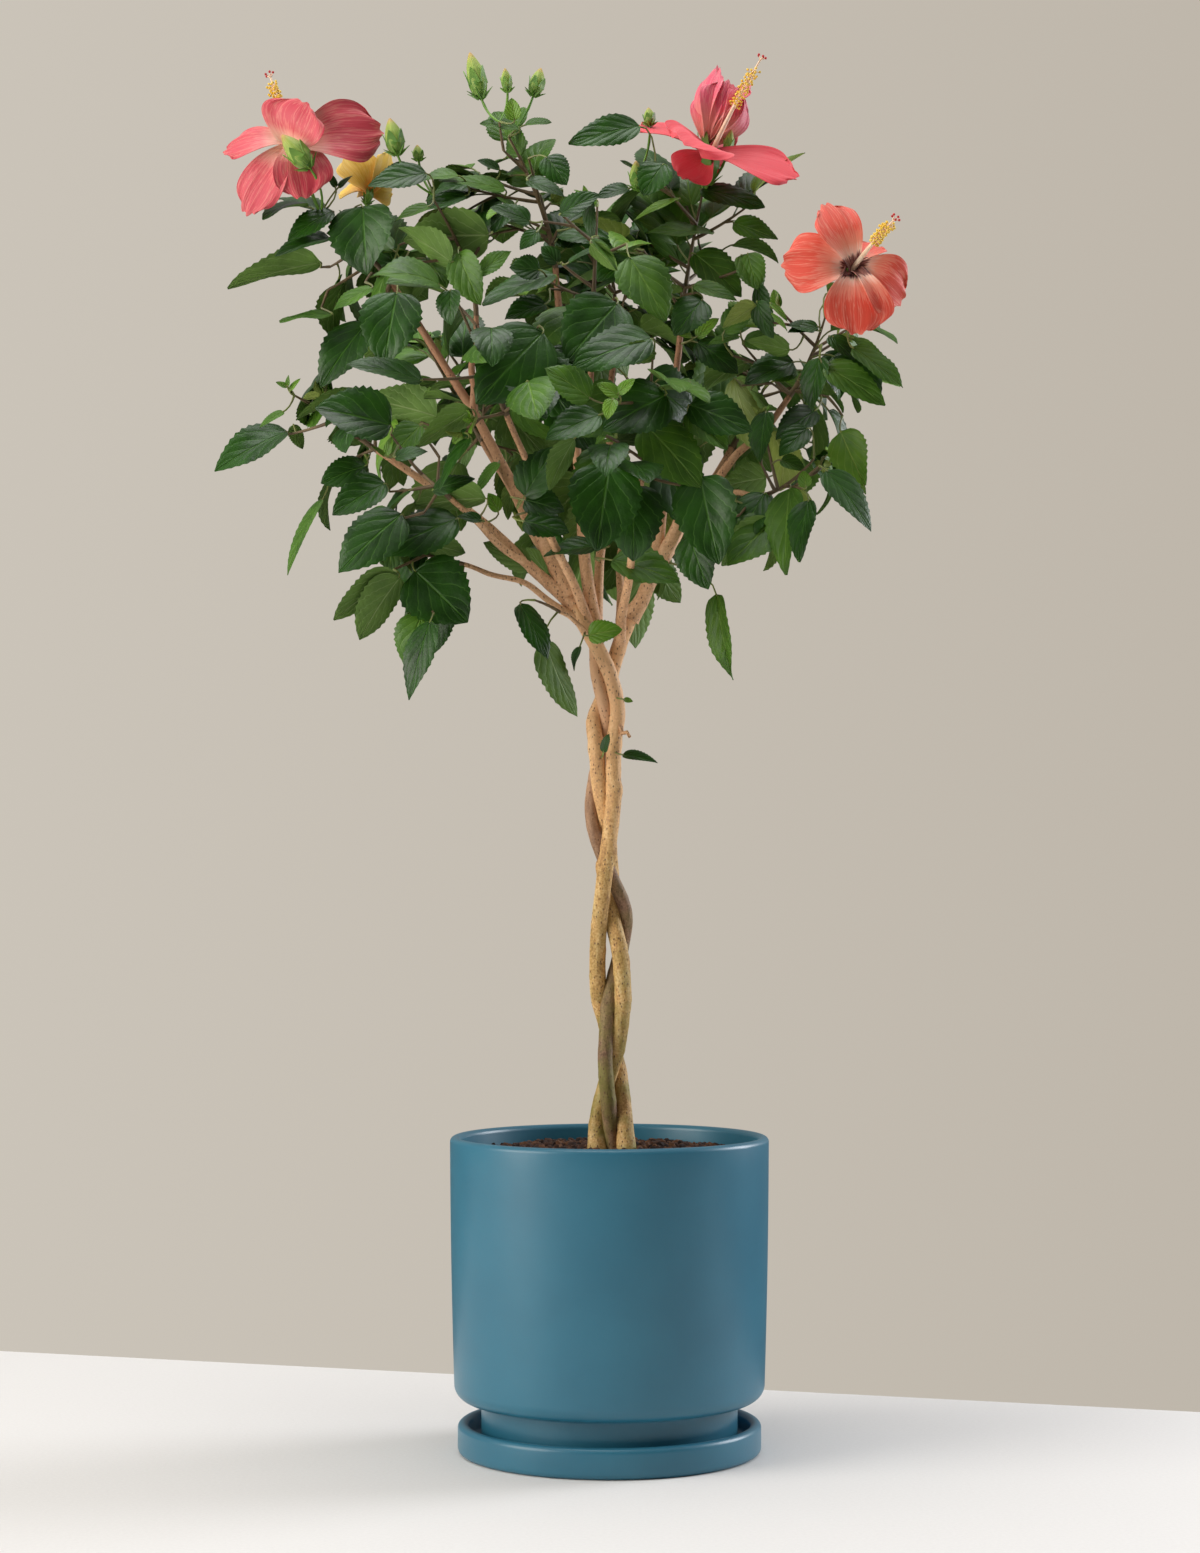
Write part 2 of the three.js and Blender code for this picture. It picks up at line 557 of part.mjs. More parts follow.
// Wood of every mass: its stem, and each side twig that runs clear of the limbs and of earlier wood.
function addWood() {
  const growing = Object.entries(masses).map(([name, mass]) => {
    const random = seeded(mass.seed);
    const twigs = twigsOf(mass, random).map((twig) => {
      const last = twig.line.length - 1;
      const radii = twig.line.map((_, k) => lerp(twig.radii[0], twig.radii[1], k / last));
      const ends = [0, last].map((k) => radii[k] + clearGap);
      const roomy = twig.way ? tube(twig.line, radii.map((r) => r + clearGap), 3, twig.way) : tube(twig.line, ends, 3);
      return { ...twig, wood: tube(twig.line, radii, 3, twig.way), roomy };
    });
    return { name, mass, random, twigs, blades: [] };
  });
  const stemsOf = (own) => growing.filter((other) => other !== own).map(({ twigs }) => twigs[0].wood);
  const placedWood = [];
  for (const plant of growing) {
    const others = [...grownLimbs(), ...stemsOf(plant), ...placedWood];
    plant.twigs = plant.twigs.filter((twig) => twig.way || !meets(twig.roomy, others));
    placedWood.push(...plant.twigs.slice(1).map((twig) => twig.wood));
  }
  return growing;
}

// Flowers and buds; another mass's side twig that would run into one is left out.
function addFlowers(growing) {
  const made = [...blooms.map((b) => [b.mass, bloomSolid(b)]), ...buds.map((b) => [b.mass, budSolid(b)])];
  for (const plant of growing) {
    plant.flowers = made.filter(([mass]) => mass === plant.name).map(([, flower]) => stalked(flower, plant.twigs));
  }
  for (const plant of growing) {
    const others = growing.filter((other) => other !== plant).flatMap((other) => other.flowers);
    plant.twigs = plant.twigs.filter((twig) => twig.way || !meets(twig.roomy, others));
  }
}

function addLeaves(plant, growing) {
  const { mass, random, twigs, flowers, blades } = plant;
  const size = mass.leafSize ?? 1;
  const woodOf = (other) => [...other.twigs.map((twig) => twig.wood), ...other.flowers, ...other.blades];
  const others = [...grownLimbs(), ...flowers, ...growing.filter((other) => other !== plant).flatMap(woodOf)];
  for (const twig of twigs) {
    const woods = twigs.filter((other) => other !== twig).map((other) => other.wood);
    for (const leafing of leavesOn(twig.line, random, twig.way ? 0.4 : 0.3)) {
      let best = null;
      for (let tries = 0; tries < leafTries; tries++) {
        const place = placed(leafing, tries, size);
        const tip = place.base.clone().addScaledVector(place.axis, place.length);
        if (depthIn(mass, tip) > massEdge) continue;
        const roomy = leafSolid(place, 0.4);
        if (meets(roomy, others) || meets(roomy, blades) || meets(roomy, woods)) continue;
        const blade = leafSolid(place);
        const faces = twig.wood.add(blade).numTri();
        if (!best || faces < best.faces) best = { blade, faces };
      }
      if (best) blades.push(best.blade);
    }
  }
}

// A mass's wood, flowers and leaves in one solid.
function fused({ twigs, flowers, blades }) {
  const solid = wasm.Manifold.union([...twigs.map((twig) => twig.wood), ...flowers, ...blades]);
  return largest(solid.simplify(0.03));
}

addStems();
addBoughs();
const crown = addWood();
addFlowers(crown);
crown.forEach((plant) => addLeaves(plant, crown));
const foliage = Object.fromEntries(crown.map((plant) => [plant.name, fused(plant)]));

const tree = new THREE.Group();
tree.add(meshOf("saucer", saucerGeometry(), colours.glaze, 0.35));
tree.add(meshOf("pot", potGeometry(), colours.glaze, 0.35));
tree.add(meshOf("soil", soilGeometry(), colours.soil, 0.95));
for (const [name, { solid }] of Object.entries(limbs)) {
  tree.add(meshOf(name, geometryOf(solid), name === "stem_middle" ? colours.barkBrown : colours.barkTan, 0.8));
}
for (const [name, solid] of Object.entries(foliage)) {
  tree.add(meshOf(name, geometryOf(solid), colours.foliage, 0.45));
}

export default tree;
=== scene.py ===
# Braided hibiscus tree in a glazed pot: three stems, a round open crown, blossom and buds.
# Shapes are worked out in millimetres, +Z up, the front faces -Y; putMesh turns them into metres.
import json
import math

import bpy
import numpy as np
from mathutils import Matrix

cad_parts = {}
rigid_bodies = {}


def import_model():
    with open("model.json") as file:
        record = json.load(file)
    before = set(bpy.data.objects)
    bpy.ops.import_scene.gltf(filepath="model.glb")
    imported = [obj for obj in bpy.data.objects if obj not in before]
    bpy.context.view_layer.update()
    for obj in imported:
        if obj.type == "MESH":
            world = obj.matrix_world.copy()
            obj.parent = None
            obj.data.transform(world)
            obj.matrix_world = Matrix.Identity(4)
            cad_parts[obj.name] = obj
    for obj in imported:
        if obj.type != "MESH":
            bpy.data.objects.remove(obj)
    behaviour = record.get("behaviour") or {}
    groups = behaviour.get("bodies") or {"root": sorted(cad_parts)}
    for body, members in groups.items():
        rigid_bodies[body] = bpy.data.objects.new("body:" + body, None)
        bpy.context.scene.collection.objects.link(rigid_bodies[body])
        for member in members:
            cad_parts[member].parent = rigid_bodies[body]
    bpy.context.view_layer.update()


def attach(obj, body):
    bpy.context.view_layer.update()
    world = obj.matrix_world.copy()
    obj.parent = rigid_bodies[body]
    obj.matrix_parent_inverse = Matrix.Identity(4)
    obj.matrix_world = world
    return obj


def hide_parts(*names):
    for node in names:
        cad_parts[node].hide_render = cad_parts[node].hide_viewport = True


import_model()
mm = 0.001

# The camera stands level in front of the tree. Pixels are those of the 1200 x 1553 photo.
photo = {"height": 1553, "focal": 2900, "horizon": 892.7}
viewpoint = {"across": -8.0, "distance": 2459.0, "height": 473.0, "sensor": 36.0}


def makeCamera():
    data = bpy.data.cameras.new("viewpoint")
    data.sensor_width = viewpoint["sensor"]
    data.lens = viewpoint["sensor"] * photo["focal"] / photo["height"]
    data.shift_y = (photo["horizon"] - photo["height"] / 2) / photo["height"]
    camera = bpy.data.objects.new("viewpoint", data)
    camera.location = (viewpoint["across"] * mm, -viewpoint["distance"] * mm, viewpoint["height"] * mm)
    camera.rotation_euler = (math.radians(90), 0, 0)
    bpy.context.scene.collection.objects.link(camera)
    bpy.context.scene.camera = camera


makeCamera()
print("camera ready")


# Numbers and vectors

def unit(v):
    return v / np.maximum(np.linalg.norm(v, axis=-1, keepdims=True), 1e-9)


def mix(a, b, share):
    return a + (b - a) * share


def seeded(seed):
    # A repeatable run of numbers from 0 to 1, the same one that the solids grow by.
    state = seed
    while True:
        state = (state * 1664525 + 1013904223) & 0xFFFFFFFF
        yield (state >> 8) / 16777216


def squareTo(way):
    # A direction square to way, level where it can be.
    side = np.cross((0.0, 1.0, 0.0), way)
    if np.linalg.norm(side) < 0.1:
        side = np.cross((1.0, 0.0, 0.0), way)
    return unit(side)


def sideOf(way, angle):
    # squareTo(way) turned about way: s cos a + (way x s) sin a.
    side = squareTo(way)
    return side * math.cos(angle) + np.cross(way, side) * math.sin(angle)


def squared(v, axis):
    # v with its run along axis taken out.
    return unit(v - axis * np.dot(v, axis))


def bezier(a, b, c, steps):
    # (1-t)^2 a + 2t(1-t) b + t^2 c at evenly spaced t, for one curve or for rows of them.
    t = np.linspace(0, 1, steps + 1)[:, None]
    a, b, c = (np.asarray(spot, float)[..., None, :] for spot in (a, b, c))
    return (1 - t) ** 2 * a + 2 * t * (1 - t) * b + t ** 2 * c


def alongLine(line, share):
    place = share * (len(line) - 1)
    i = min(int(place), len(line) - 2)
    return mix(line[i], line[i + 1], place - i)


def ripple(angle, height, seed, waves=5):
    # Smooth lumps over an angle and a height: a sum of sines with seeded turns and phases, about -1 to 1.
    draw = seeded(seed)
    total = 0
    for k in range(1, waves + 1):
        rise = (next(draw) - 0.5) * 0.5 * k
        total = total + np.sin(k * angle + rise * height + next(draw) * 6.283) / k
        total = total + np.sin(next(draw) * k * 0.35 * height + next(draw) * 6.283) / k
    return total / 4


# Meshes

def putMesh(name, parts, materials, uv=None, slots=None):
    # parts: (points in mm, list of face index arrays) pairs, moved into one mesh in one go.
    offsets = np.cumsum([0] + [len(points) for points, groups in parts])
    points = np.concatenate([points for points, groups in parts])
    groups = [group + offset for part, offset in zip(parts, offsets) for group in part[1]]
    corners = np.concatenate([group.ravel() for group in groups]).astype(np.int32)
    sizes = np.concatenate([np.full(len(group), group.shape[1]) for group in groups])
    starts = np.concatenate(([0], np.cumsum(sizes)[:-1])).astype(np.int32)
    mesh = bpy.data.meshes.new(name)
    mesh.vertices.add(len(points))
    mesh.vertices.foreach_set("co", (points * mm).astype(np.float32).ravel())
    mesh.loops.add(len(corners))
    mesh.loops.foreach_set("vertex_index", corners)
    mesh.polygons.add(len(sizes))
    mesh.polygons.foreach_set("loop_start", starts)
    for material in materials:
        mesh.materials.append(material)
    if slots is not None:
        mesh.polygons.foreach_set("material_index", slots.astype(np.int32))
    mesh.update(calc_edges=True)
    mesh.polygons.foreach_set("use_smooth", np.ones(len(sizes), bool))
    if uv is not None:
        layer = mesh.uv_layers.new(name="UVMap")
        layer.data.foreach_set("uv", uv[corners].astype(np.float32).ravel())
    mesh.validate()
    mesh.set_sharp_from_angle(angle=math.radians(62))
    piece = bpy.data.objects.new(name, mesh)
    bpy.context.scene.collection.objects.link(piece)
    return piece


def settle(piece, slot, *nodes):
    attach(piece, "root")
    if nodes:
        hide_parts(*nodes)
    print("made", piece.name, len(piece.data.polygons), "faces")


def gridFaces(count, rows, cols, wrap=False, flip=False):
    index = np.arange(count * rows * cols).reshape(count, rows, cols)
    if wrap:
        index = np.concatenate([index, index[:, :, :1]], axis=2)
    quads = np.stack([index[:, :-1, :-1], index[:, :-1, 1:], index[:, 1:, 1:], index[:, 1:, :-1]], axis=-1)
    quads = quads.reshape(-1, 4)
    return quads[:, ::-1] if flip else quads


def tubes(paths, radii, sides):
    # A circle carried along each path: centre + r (cos a side + sin a other), both ends closed.
    # paths (n, rings, 3), radii (n, rings) or (n, rings, sides).
    paths = np.asarray(paths, float)
    radii = np.asarray(radii, float)
    radii = radii[..., None] if radii.ndim == 2 else radii
    along = unit(np.gradient(paths, axis=1))
    chord = np.abs(paths[:, -1] - paths[:, 0])
    reference = np.eye(3)[np.argmin(chord, axis=1)][:, None, :]
    side = unit(np.cross(reference, along))
    other = np.cross(along, side)
    angle = np.arange(sides) * 2 * np.pi / sides
    ring = side[:, :, None] * np.cos(angle)[:, None] + other[:, :, None] * np.sin(angle)[:, None]
    points = paths[:, :, None] + ring * radii[..., None]
    count, rings = paths.shape[:2]
    index = np.arange(count * rings * sides).reshape(count, rings, sides)
    return points.reshape(-1, 3), [gridFaces(count, rings, sides, wrap=True), index[:, 0, ::-1], index[:, -1]]


def sheets(top, thickness):
    # Closed thin shells from grids of points (n, rows, cols, 3): the under side is the top moved back
    # along its own normal, and a rim of faces joins the two.
    top = np.asarray(top, float)
    count, rows, cols = top.shape[:3]
    normal = unit(np.cross(np.gradient(top, axis=2), np.gradient(top, axis=1)))
    under = top - normal * thickness
    half = count * rows * cols
    index = np.arange(half).reshape(count, rows, cols)
    edges = [index[:, 0, :-1], index[:, :-1, -1], index[:, -1, :0:-1], index[:, :0:-1, 0]]
    border = np.concatenate(edges, axis=1)
    after = np.roll(border, -1, axis=1)
    rim = np.stack([border, border + half, after + half, after], axis=-1).reshape(-1, 4)
    points = np.concatenate([top.reshape(-1, 3), under.reshape(-1, 3)])
    return points, [gridFaces(count, rows, cols), gridFaces(count, rows, cols, flip=True) + half, rim]


def arcPoints(middleRadius, middleHeight, radius, fromDegrees, toDegrees, steps=8):
    angle = np.radians(np.linspace(fromDegrees, toDegrees, steps + 1))
    return np.stack([middleRadius + radius * np.cos(angle), middleHeight + radius * np.sin(angle)], axis=1)


def turned(rings, ends):
    # Rings (rows, turns, 3) round the upright axis, each end closed by a fan to a height on the axis.
    rows, turns = rings.shape[:2]
    points = np.concatenate([rings.reshape(-1, 3), [[0, 0, height] for height in ends]])
    index = np.arange(rows * turns).reshape(rows, turns)
    low, high = len(points) - 2, len(points) - 1
    fans = [np.stack([np.full(turns, low), np.roll(index[0], -1), index[0]], axis=-1),
            np.stack([np.full(turns, high), index[-1], np.roll(index[-1], -1)], axis=-1)]
    return points, [gridFaces(1, rows, turns, wrap=True)] + fans


def lathe(profile, segments=160):
    # A profile of (radius, height) carried round the upright axis; it starts and ends on the axis.
    profile = np.concatenate([np.atleast_2d(p) for p in profile])
    angle = np.arange(segments) * 2 * np.pi / segments
    radius, height = profile[1:-1, :1], profile[1:-1, 1:]
    rings = np.stack([radius * np.cos(angle), radius * np.sin(angle), height + 0 * angle], axis=-1)
    return turned(rings, (profile[0, 1], profile[-1, 1]))


# Materials

def linear(hexColour):
    # sRGB hex to linear: below 0.04045 c/12.92, above it ((c+0.055)/1.055)^2.4.
    c = np.array([int(hexColour[i:i + 2], 16) for i in (1, 3, 5)]) / 255
    value = np.where(c <= 0.04045, c / 12.92, ((c + 0.055) / 1.055) ** 2.4)
    return (*value, 1.0)


def newMaterial(name, **settings):
    material = bpy.data.materials.new(name)
    material.use_nodes = True
    shader = material.node_tree.nodes["Principled BSDF"]
    for key, value in settings.items():
        shader.inputs[key.replace("_", " ")].default_value = value
    return material, material.node_tree, shader


def addNode(tree, kind, inputs=None, out=0, stops=None, **settings):
    # One node: an input that is a socket is linked, any other is set; gives back one output socket.
    node = tree.nodes.new("ShaderNode" + kind)
    for key, value in settings.items():
        setattr(node, key, value)
    for key, value in (inputs or {}).items():
        if isinstance(value, bpy.types.NodeSocket):
            tree.links.new(value, node.inputs[key])
        else:
            node.inputs[key].default_value = value
    if stops:
        elements = node.color_ramp.elements
        elements.remove(elements[1])
        elements[0].position = stops[0][0]
        for place, colour in stops:
            element = elements[0] if place == stops[0][0] else elements.new(place)
            element.color = linear(colour) if isinstance(colour, str) else (colour, colour, colour, 1)
    return node.outputs[out]


def perMm(size):
    # Pattern scale on Object coordinates, in metres, for one feature every so many millimetres.
    return 1 / (size * mm)


def finishWith(tree, shader, colour, height, reliefMm):
    bump = addNode(tree, "Bump", {"Height": height, "Strength": 1.0, "Distance": reliefMm * mm}, "Normal")
    tree.links.new(colour, shader.inputs["Base Color"])
    tree.links.new(bump, shader.inputs["Normal"])


glaze = {"pale": "#2c6f87", "deep": "#286981", "roughness": 0.4, "mottleMm": 70, "peelMm": 2.4,
         "reliefMm": 0.05}


def glazedStoneware(name):
    # Satin glazed stoneware, cast and sprayed: an even teal skin a shade darker where it pools, with
    # a faint orange peel that softens its highlights.
    material, tree, shader = newMaterial(name, Roughness=glaze["roughness"], IOR=1.5, Coat_Weight=0.2,
                                         Coat_Roughness=0.25)
    where = addNode(tree, "TexCoord", out="Object")
    mottle = addNode(tree, "TexNoise", {"Vector": where, "Scale": perMm(glaze["mottleMm"]), "Detail": 4})
    colour = addNode(tree, "ValToRGB", {0: mottle}, stops=[(0.35, glaze["deep"]), (0.65, glaze["pale"])])
    peel = addNode(tree, "TexNoise", {"Vector": where, "Scale": perMm(glaze["peelMm"]), "Detail": 2})
    finishWith(tree, shader, colour, peel, glaze["reliefMm"])
    return material


# Bark: moss, warmLit and upper are each a colour, and between two heights each comes in or fades out.
# warmLit is painted light under the fork; upper is partly the young wood's red and partly painted shade.
bark = {"poreMm": 2.3, "streakMm": 8, "speckleMm": 1.7, "patchMm": 20, "reliefMm": 0.35, "pore": "#65452c",
        "moss": "#7d7b30", "mossTop": 545, "mossFade": 290, "warmLit": "#e8b78a", "warmLitFrom": 490,
        "warmLitTo": 650, "upper": "#94654a", "upperFrom": 770, "upperTo": 900, "upperMost": 0.8}


def smoothBark(name, base, shade, pale, warmLitShare):
    # Young hibiscus bark, thin and smooth: fine upright streaks, raised dark pores, a green film of
    # algae near the soil, a warm tone under the fork made lighter with painted light that makes up for the
    # crown's shade on the trunk, and a darker, redder one on the youngest wood that is partly its own colour
    # and partly painted shade inside the crown.
    material, tree, shader = newMaterial(name, Roughness=0.68)
    where = addNode(tree, "TexCoord", out="Object")
    drawn = addNode(tree, "Mapping", {"Vector": where, "Scale": (1, 1, 0.2)})
    streak = addNode(tree, "TexNoise", {"Vector": drawn, "Scale": perMm(bark["streakMm"]), "Detail": 5,
                                        "Roughness": 0.65})
    speckle = addNode(tree, "TexNoise", {"Vector": where, "Scale": perMm(bark["speckleMm"]), "Detail": 3})
    mottled = addNode(tree, "Mix", {0: 0.45, 2: streak, 3: speckle}, data_type="FLOAT")
    colour = addNode(tree, "ValToRGB", {0: mottled}, stops=[(0.38, shade), (0.49, base), (0.62, pale)])
    height = addNode(tree, "SeparateXYZ", {0: where}, "Z")
    # warmLit lightens the wood under the fork as painted light; upper darkens and reddens it in the crown,
    # partly painted shade.
    for tone, most in (("warmLit", warmLitShare), ("upper", bark["upperMost"])):
        share = addNode(tree, "MapRange", {"Value": height, "From Min": bark[tone + "From"] * mm,
                                           "From Max": bark[tone + "To"] * mm, "To Max": most})
        colour = addNode(tree, "Mix", {0: share, 6: colour, 7: linear(bark[tone])}, 2, data_type="RGBA")
    fade = addNode(tree, "MapRange", {"Value": height, "From Min": bark["mossTop"] * mm,
                                      "From Max": (bark["mossTop"] - bark["mossFade"]) * mm})
    patches = addNode(tree, "TexNoise", {"Vector": where, "Scale": perMm(bark["patchMm"]), "Detail": 4})
    cover = addNode(tree, "ValToRGB", {0: patches}, stops=[(0.38, 0.1), (0.62, 0.95)])
    film = addNode(tree, "Math", {0: fade, 1: cover}, operation="MULTIPLY")
    colour = addNode(tree, "Mix", {0: film, 6: colour, 7: linear(bark["moss"])}, 2, data_type="RGBA")
    ovals = addNode(tree, "Mapping", {"Vector": where, "Scale": (1, 1, 0.6)})
    cells = {"Vector": ovals, "Scale": perMm(bark["poreMm"])}
    reach = addNode(tree, "TexVoronoi", cells)
    chance = addNode(tree, "TexVoronoi", cells, "Color")
    dots = addNode(tree, "ValToRGB", {0: reach}, stops=[(0.12, 1.0), (0.34, 0.0)])
    some = addNode(tree, "ValToRGB", {0: chance}, stops=[(0.3, 0.0), (0.52, 1.0)])
    dots = addNode(tree, "Math", {0: dots, 1: some}, operation="MULTIPLY")
    colour = addNode(tree, "Mix", {0: dots, 6: colour, 7: linear(bark["pore"])}, 2, data_type="RGBA")
    relief = addNode(tree, "Math", {0: mottled, 1: dots}, operation="ADD")
    finishWith(tree, shader, colour, relief, bark["reliefMm"])
    return material


leafLook = {"veinPairs": 4.5, "veinSlant": 1.0, "wanderMm": 22, "patchMm": 24, "crinkleMm": 2.6,
            "reliefMm": 0.55}


def leafSkin(name, dark, light, vein, roughness, coat):
    # The skin of a hibiscus leaf: a paler rib and side veins that curve forward, the blade swelling
    # between them and finely crinkled. It reads the leaf's own UV map: u across, v from stalk to tip.
    material, tree, shader = newMaterial(name, Roughness=roughness, Coat_Weight=coat, Coat_Roughness=0.25,
                                         Specular_IOR_Level=0.3)
    spot = addNode(tree, "TexCoord", out="UV")
    where = addNode(tree, "TexCoord", out="Object")
    across = addNode(tree, "SeparateXYZ", {0: spot}, "X")
    along = addNode(tree, "SeparateXYZ", {0: spot}, "Y")
    fromRib = addNode(tree, "Math", {0: across, 1: 0.5}, operation="SUBTRACT")
    fromRib = addNode(tree, "Math", {0: fromRib}, operation="ABSOLUTE")
    curved = addNode(tree, "Math", {0: fromRib, 1: 0.8}, operation="POWER")
    slant = addNode(tree, "Math", {0: curved, 1: leafLook["veinSlant"]}, operation="MULTIPLY")
    run = addNode(tree, "Math", {0: along, 1: slant}, operation="SUBTRACT")
    wander = addNode(tree, "TexNoise", {"Vector": where, "Scale": perMm(leafLook["wanderMm"]), "Detail": 2})
    wander = addNode(tree, "MapRange", {"Value": wander, "To Min": -0.05, "To Max": 0.05})
    run = addNode(tree, "Math", {0: run, 1: wander}, operation="ADD")
    run = addNode(tree, "Math", {0: run, 1: leafLook["veinPairs"]}, operation="MULTIPLY")
    wave = addNode(tree, "Math", {0: run, 1: 0.5}, operation="PINGPONG")
    sideVein = addNode(tree, "ValToRGB", {0: wave}, stops=[(0.0, 0.55), (0.07, 0.0)])
    rib = addNode(tree, "ValToRGB", {0: fromRib}, stops=[(0.0, 1.0), (0.028, 0.0)])
    veins = addNode(tree, "Math", {0: sideVein, 1: rib}, operation="MAXIMUM")
    patch = addNode(tree, "TexNoise", {"Vector": where, "Scale": perMm(leafLook["patchMm"]), "Detail": 4})
    shade = addNode(tree, "ValToRGB", {0: patch}, stops=[(0.35, dark), (0.65, light)])
    colour = addNode(tree, "Mix", {0: veins, 6: shade, 7: linear(vein)}, 2, data_type="RGBA")
    swell = addNode(tree, "Math", {0: wave, 1: 0.55}, operation="POWER")
    swell = addNode(tree, "Math", {0: swell, 1: rib}, operation="SUBTRACT")
    crinkle = addNode(tree, "TexNoise", {"Vector": where, "Scale": perMm(leafLook["crinkleMm"]), "Detail": 3})
    crinkle = addNode(tree, "Math", {0: crinkle, 1: 0.55}, operation="MULTIPLY")
    swell = addNode(tree, "Math", {0: swell, 1: crinkle}, operation="ADD")
    finishWith(tree, shader, colour, swell, leafLook["reliefMm"])
    return material


def softGreen(name, colour, second, roughness, grainMm=14, reliefMm=0.12):
    # Soft growth of one colour with a blush of a second: green twigs, stalks, calyces, anthers, crumbs.
    material, tree, shader = newMaterial(name, Roughness=roughness)
    where = addNode(tree, "TexCoord", out="Object")
    blush = addNode(tree, "TexNoise", {"Vector": where, "Scale": perMm(grainMm), "Detail": 4})
    shade = addNode(tree, "ValToRGB", {0: blush}, stops=[(0.38, colour), (0.62, second)])
    fine = addNode(tree, "TexNoise", {"Vector": where, "Scale": perMm(grainMm / 8), "Detail": 3})
    finishWith(tree, shader, shade, fine, reliefMm)
    return material


def petalSkin(name, stops, veinColour, veinShare):
    # A petal: thin crinkled tissue whose colour runs from its eye to its edge, with fine veins that
    # fan out along it. It reads the petal's own UV map: u across, v from the eye to the edge.
    material, tree, shader = newMaterial(name, Roughness=0.55, Sheen_Weight=0.2, Subsurface_Weight=0.1,
                                         Subsurface_Radius=(0.004, 0.0015, 0.001))
    spot = addNode(tree, "TexCoord", out="UV")
    drawn = addNode(tree, "Mapping", {"Vector": spot, "Scale": (24, 2.0, 1)})
    fan = addNode(tree, "TexNoise", {"Vector": drawn, "Scale": 1.0, "Detail": 3})
    shift = addNode(tree, "MapRange", {"Value": fan, "To Min": -0.12, "To Max": 0.12})
    run = addNode(tree, "Math", {0: addNode(tree, "SeparateXYZ", {0: spot}, "Y"), 1: shift}, operation="ADD")
    body = addNode(tree, "ValToRGB", {0: run}, stops=stops)
    lines = addNode(tree, "ValToRGB", {0: fan}, stops=[(0.44, 0.0), (0.5, veinShare), (0.56, 0.0)])
    colour = addNode(tree, "Mix", {0: lines, 6: body, 7: linear(veinColour)}, 2, data_type="RGBA")
    finishWith(tree, shader, colour, fan, 0.5)
    return material


# Pot and saucer: thrown shapes with every corner rounded.
saucer = {"radius": 128.5, "height": 25.7, "wall": 9.5, "floor": 8.0, "foot": 5.0, "cove": 5.0, "flat": 12,
          "outerRing": 14, "innerRing": 15, "floorRing": 60}
pot = {"rimRadius": 135.0, "rimHeight": 267.0, "wall": 9.0, "bodyRadius": 131.5, "bodyHeight": 45.0,
       "corner": 13.0, "footRadius": 108.5, "footEdge": 3.0, "footRing": 30, "flat": 14, "floor": 12.0,
       "gap": 0.3, "swell": 0.7, "innerDraft": 0.4, "innerDrop": 30}


def makeSaucer(material):
    radius, lip, foot, cove = saucer["radius"], saucer["wall"] / 2, saucer["foot"], saucer["cove"]
    inner, floor = radius - saucer["wall"], saucer["floor"]
    profile = [(0, 0), (radius - foot - saucer["flat"], 0), (radius - foot, 0),
               arcPoints(radius - foot, foot, foot, -90, 0), (radius, saucer["outerRing"]),
               arcPoints(radius - lip, saucer["height"] - lip, lip, 0, 180, 14), (inner, saucer["innerRing"]),
               arcPoints(inner - cove, floor + cove, cove, 0, -90), (saucer["floorRing"], floor), (0, floor)]
    settle(putMesh("saucerGlazed", [lathe(profile)], [material]), "glaze", "saucer")


def makePot(material):
    low = saucer["floor"] + pot["gap"]
    floor = low + pot["floor"]
    shoulder = pot["bodyHeight"] + pot["floor"]
    corner, lip, foot, edge = pot["corner"], pot["wall"] / 2, pot["footRadius"], pot["footEdge"]
    bodyInner, footInner = pot["bodyRadius"] - pot["wall"], foot - pot["wall"]
    # The body widens from its foot to the rim with a barely swelling side.
    rise = np.linspace(0, 1, 14)[1:-1]
    side = np.stack([mix(pot["bodyRadius"], pot["rimRadius"], rise) + pot["swell"] * np.sin(np.pi * rise),
                     mix(pot["bodyHeight"] + corner, pot["rimHeight"] - lip, rise)], axis=1)
    profile = [(0, low), (foot - pot["flat"], low), (foot - edge, low),
               arcPoints(foot - edge, low + edge, edge, -90, 0, 4),
               (foot, pot["footRing"]), (foot, pot["bodyHeight"] - edge),
               arcPoints(foot + edge, pot["bodyHeight"] - edge, edge, 180, 90, 4),
               arcPoints(pot["bodyRadius"] - corner, pot["bodyHeight"] + corner, corner, -90, 0, 12), side,
               arcPoints(pot["rimRadius"] - lip, pot["rimHeight"] - lip, lip, 0, 180, 16),
               (pot["rimRadius"] - pot["wall"] - pot["innerDraft"], pot["rimHeight"] - pot["innerDrop"]),
               (bodyInner, shoulder), (footInner, shoulder), (footInner, floor), (0, floor)]
    settle(putMesh("potGlazed", [lathe(profile)], [material]), "glaze", "pot")


# Soil: a domed bed with coarse crumbs lying on it, as far as crumbReach and clear of the stems.
soil = {"height": 254.6, "edgeDrop": 4.5, "edgeRadius": 125.3, "lump": 0.9, "foot": 58.0, "footShare": 0.955,
        "crumbs": 2300, "crumbMm": (1.2, 4.2), "crumbReach": 122.5, "crumbEdge": 123.5, "stemClear": 22,
        "crumbRise": 0.35, "crumbShape": (0.35, 0.85, 0.8, 0.4), "crumbRough": (0.7, 1.15)}


def soilHeight(x, y):
    # A shallow dome, lowest at the pot's wall, with lumps a few centimetres across.
    out = np.hypot(x, y) / soil["edgeRadius"]
    lumps = np.sin(x / 9 + 2.1 * np.sin(y / 17)) * np.sin(y / 8 + 1.7 * np.sin(x / 14))
    drop = soil["edgeDrop"] * np.clip((out - 0.55) / 0.45, 0, 1) ** 1.5
    return soil["height"] - drop + soil["lump"] * lumps * (1 - 0.6 * out)


